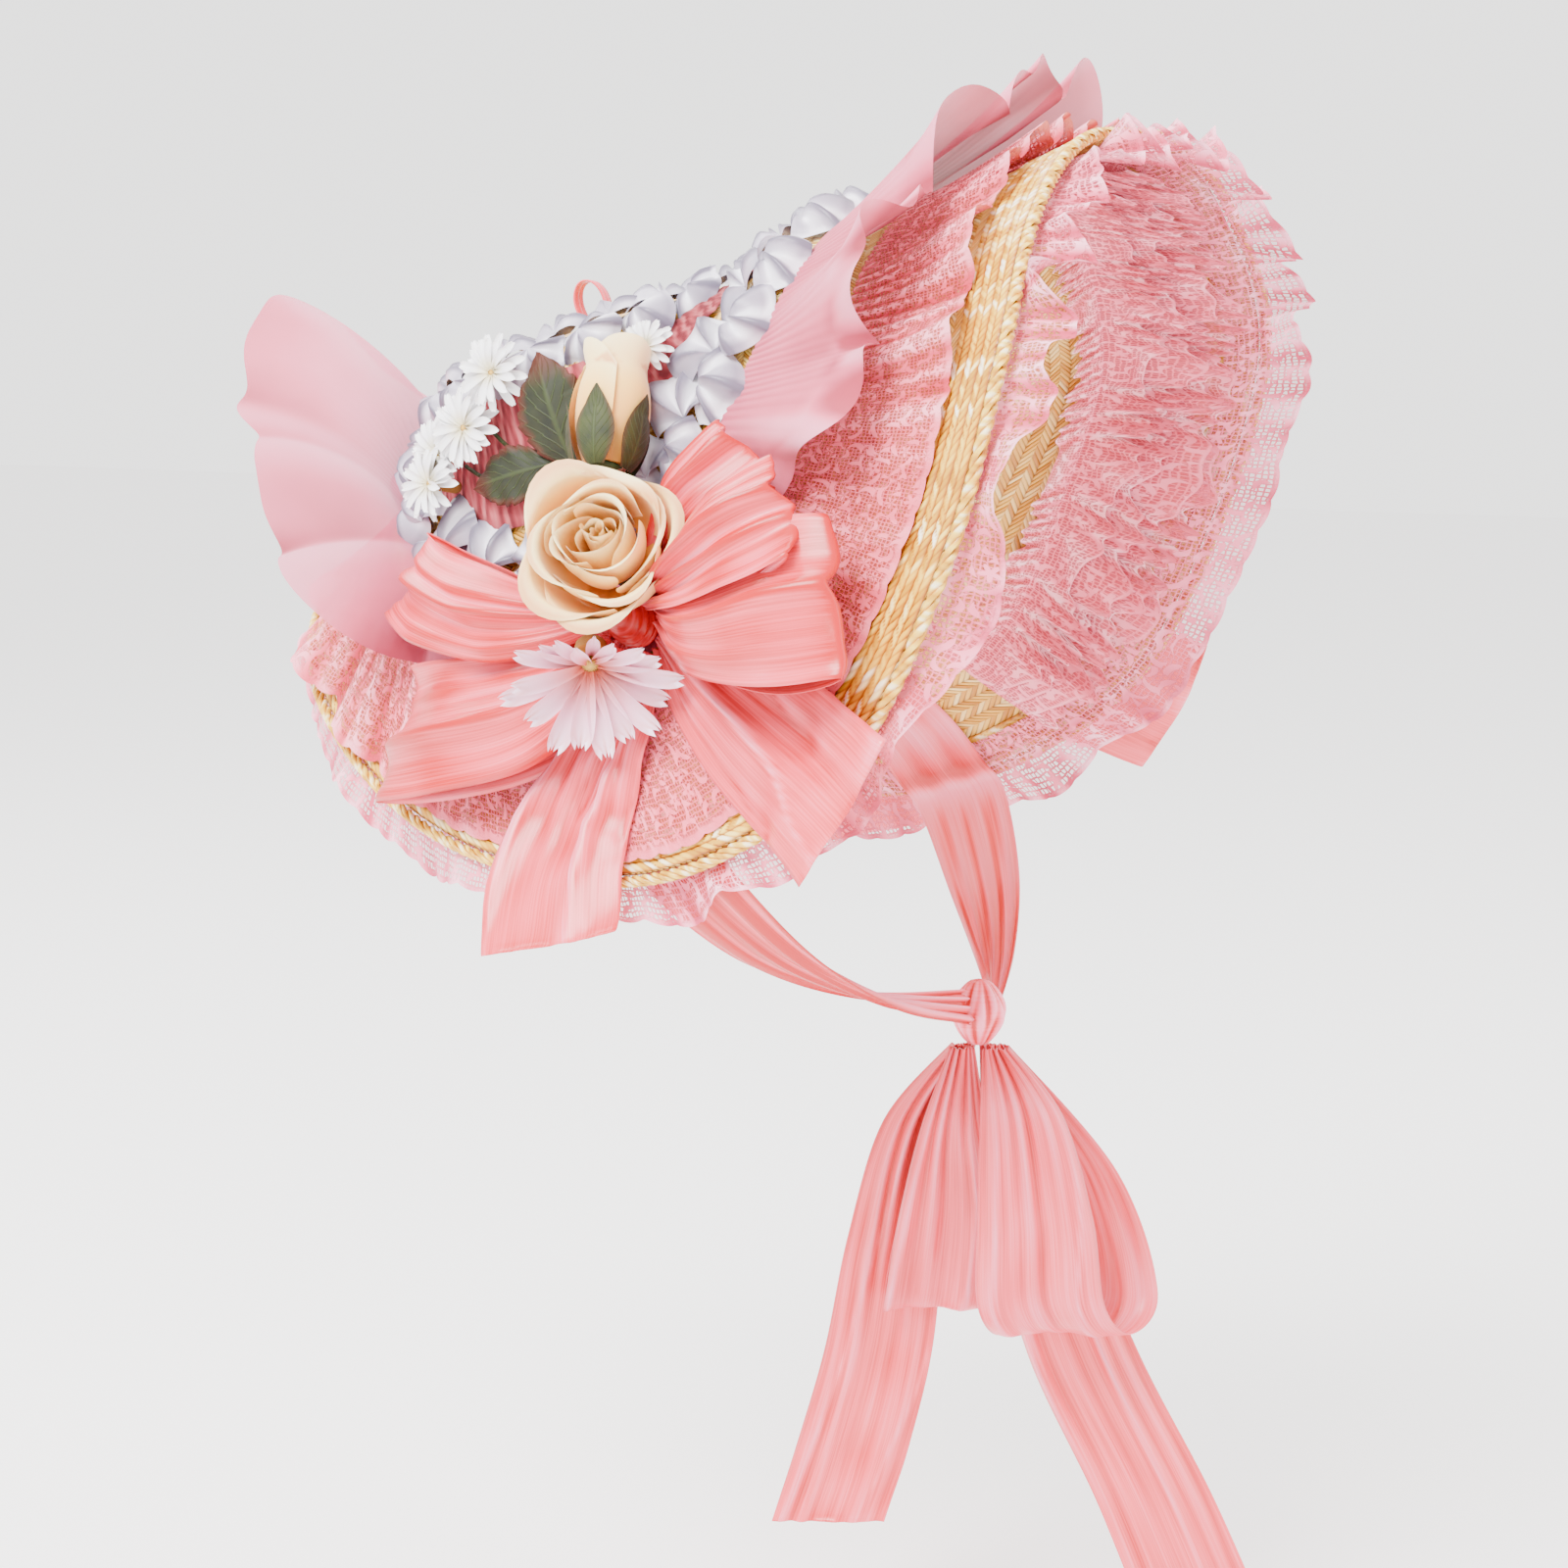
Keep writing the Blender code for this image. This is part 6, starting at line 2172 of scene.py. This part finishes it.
        def place(u: Array, v: Array) -> Array:
            s = 2 * v - 1
            outline = 0.34 + 0.66 * np.sin(0.5 * math.pi * np.clip(u / 0.72, 0, 1))
            outline = outline * np.sqrt(1 - 0.80 * np.clip((u - 0.76) / 0.24, 0, 1) ** 2)
            tip = 1 - notch * np.cos(1.5 * math.pi * s) ** 2
            reach = length * (0.10 + 0.90 * u * (1 + (tip - 1) * u**4))
            rise = self.petal_cup * s * s * width - droop * length * u * u
            rise = rise + 0.06 * length * np.sin(math.pi * u)
            return np.stack([reach, s * width / 2 * outline, rise], 1)

        notes = {"along": lambda u, v: u}
        return Panel(name, 12, 8, place, (width, length), reach=1, depth_mm=0.5, notes=notes)

    def daisy(
        self, name: str, at: Array, axis: Array, radius: float, height: float, node: str, kind: DaisyKind
    ) -> None:
        """A daisy: two whorls of petals, a domed centre and its short hub.

        Args:
            name: the piece's name.
            at: its seat.
            axis: where it faces.
            radius: petal length.
            height: how far its petals stand over the seat.
            node: the CAD node it replaces, or nothing.
            kind: what its petals are like.
        """
        dice = np.random.default_rng(int(radius * 1e6) + int(height * 1e5))
        parts = []
        for whorl, lift in enumerate((0.0, 0.0012)):
            length = radius * (1 - 0.12 * whorl)
            mesh = self.petal(f"{name}_petal", length, radius * kind.width, kind.droop, kind.notch).mesh()
            top = np.array(at) + axis * (height - 0.0008 + lift)
            for k in range(kind.petals):
                spin = 360 * (k + 0.5 * whorl) / kind.petals + dice.uniform(-5, 5)
                where = stand(top, axis, spin, dice.uniform(*kind.lean) + kind.inner_lean * whorl)
                raised = (where.to_3x3() @ Vector((1, 0, 0))).z if kind.shortened else 0
                parts.append((mesh, where @ Matrix.Scale(1 - 0.75 * min(max(raised, 0), 0.6), 4)))
        assemble(f"{name}_petals", parts, kind.finish, (node,) if node else ())

        def dome(u: Array, v: Array) -> Array:
            lean = v * 0.5 * math.pi
            grain = 1 + 0.10 * np.sin(13 * math.tau * u + 34 * v) * np.sin(math.pi * v)
            out = np.where(v <= 0, 0.0, np.sin(lean)) * radius * kind.eye * grain
            return polar(out, math.tau * u, np.cos(lean) * radius * 0.6 * kind.eye * grain)

        notes, cut = {"along": lambda u, v: 1 - v}, (0.01, 0.01)
        centre = Panel(f"{name}_dome", 52, 14, dome, cut, True, reach=1, depth_mm=0.3, notes=notes)
        hub = self.turned(f"{name}_hub", ((0, 0.0), (0.04, 0.16), (0.6, 0.16), (0.95, 0.22), (1, 0.0)), 12)
        scale = Matrix.Diagonal((radius, radius, height + 0.0008, 1))
        parts = [(centre.mesh(), stand(np.array(at) + axis * (height + 0.0004), axis))]
        parts.append((hub.mesh(), stand(at, axis) @ scale))
        assemble(f"{name}_centre", parts, STAMEN)

    def loop(self) -> None:
        """The small ribbon loop that stands up behind the top ruche."""
        angle, inwards = (np.array([x]) for x in self.loop_at)
        foot = FORM.on_top(angle, inwards, np.array([FORM.straw_thickness / 2 + FORM.gap]))[0]
        normal, flat = FORM.top_normal(), np.zeros(1)
        inward = unit(FORM.on_top(angle, inwards, flat)[0] - FORM.on_top(angle, flat, flat)[0])
        inward = unit(inward - normal * float(inward @ normal))
        along = np.cross(normal, inward)

        def place(u: Array, v: Array) -> Array:
            turn = math.pi * (1.42 * u - 0.21)
            rise = self.loop_rise * np.clip(0.45 + 0.55 * np.sin(turn), 0, 1)
            rise = rise * np.clip(np.minimum(u, 1 - u) * 12, 0, 1)
            spread = (self.loop_half + 0.0006 * np.sin(math.tau * 2 * v)) * np.cos(turn)
            return shifted(foot, (along, spread), (normal, rise), (inward, (v - 0.5) * self.loop_width))

        cut = (0.05, self.loop_width)
        panel = Panel("crown_loop_ribbon", 40, 12, place, cut, thickness=0.0006, reach=2)
        dress(panel, RIBBON, ("crown_loop",))

    def build(self) -> None:
        """Builds every flower and leaf."""
        self.rose()
        self.bud()
        for name in self.leaves:
            self.leaf(name)
        for name in self.stems:
            self.stem(name)
        for name, (node, angle, up, radius, seat, height) in self.daisies.items():
            outward = FORM.crown_frame(np.array([float(angle)]))[3][0]
            at = self.spot(FORM.on_crown, (angle, up, seat))
            self.daisy(name, at, outward, radius, height, node, WHITE_DAISY)
        at, face = self.spot(FORM.on_brim, self.pink_at), unit(np.array(self.pink_face))
        self.daisy("pink_daisy", at, face, self.pink_radius, self.pink_height, "daisy_pink", PINK_DAISY)
        self.loop()


@dataclass
class Studio:
    """Floor, soft lights and the camera at the photo's angle."""

    azimuth: float = -65.0
    elevation: float = 8.0
    distance: float = 1.8
    lens: float = 101.25
    look_at: Point = (-0.0337, 0.0196, -0.1584)
    floor_below: float = 0.012
    floor_half: float = 6
    sky: str = "#fbfaf9"
    sky_strength: float = 2.6
    sensor_mm: float = 36.0
    clip_end: float = 50.0
    lights: tuple[tuple[Any, ...], ...] = (
        ("key_softbox", -100.0, 46.0, 1.1, 125.0, 2.2),
        ("fill_softbox", 10.0, 20.0, 2.0, 52.0, 2.6),
        ("back_softbox", 150.0, 50.0, 1.6, 66.0, 2.6),
    )

    def aim(self, made: bpy.types.Object, back: Vector, reach: float) -> None:
        """Puts an object at a distance from the hat and turns it towards it."""
        made.location = Vector(self.look_at) + back * reach
        made.rotation_euler = back.to_track_quat("Z", "Y").to_euler()

    def floor(self) -> None:
        """A wide plain floor under the lowest tail."""
        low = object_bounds()[0][2] - self.floor_below
        bm = bmesh.new()
        bm.loops.layers.uv.new("UVMap")
        under = Matrix.Translation((0, 0, low))
        size = self.floor_half
        bmesh.ops.create_grid(bm, x_segments=2, y_segments=2, size=size, matrix=under, calc_uvs=True)
        mesh = bpy.data.meshes.new("studio_floor")
        bm.to_mesh(mesh)
        bm.free()
        mesh.materials.append(FLOOR.material())
        placed("studio_floor", mesh)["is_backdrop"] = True

    def light(
        self, name: str, azimuth: float, elevation: float, size: float, watts: float, reach: float
    ) -> None:
        """A soft area light that faces the hat.

        Args:
            name: the light's name.
            azimuth: its direction round the hat, as the camera's.
            elevation: degrees above the horizon.
            size: side of its square in metres.
            watts: its power.
            reach: its distance in metres.
        """
        lamp = bpy.data.lights.new(name, "AREA")
        lamp.energy, lamp.size = watts, size
        self.aim(placed(name, lamp), direction(azimuth, elevation), reach)

    def build(self) -> None:
        """Builds the studio."""
        self.floor()
        for row in self.lights:
            self.light(*row)
        world = bpy.data.worlds.new("studio_room")
        world.use_nodes = True
        sky = world.node_tree.nodes["Background"]
        sky.inputs["Color"].default_value = linear(self.sky)
        sky.inputs["Strength"].default_value = self.sky_strength
        bpy.context.scene.world = world
        camera = bpy.data.cameras.new("photo_view")
        camera.lens, camera.sensor_width, camera.clip_end = self.lens, self.sensor_mm, self.clip_end
        made = placed("photo_view", camera)
        self.aim(made, direction(self.azimuth, self.elevation), self.distance)
        bpy.context.scene.camera = made


def main() -> None:
    """Builds every sub-assembly in order."""
    logging.basicConfig(level=logging.INFO, format="%(name)s: %(message)s")
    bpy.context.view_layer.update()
    StrawBody().build()
    Ruches().build()
    Ruffles().build()
    Bow("right", False).build()
    Bow("left", True).build()
    ChinTie().build()
    Flowers().build()
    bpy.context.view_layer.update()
    Studio().build()


if __name__ == "__main__":
    main()
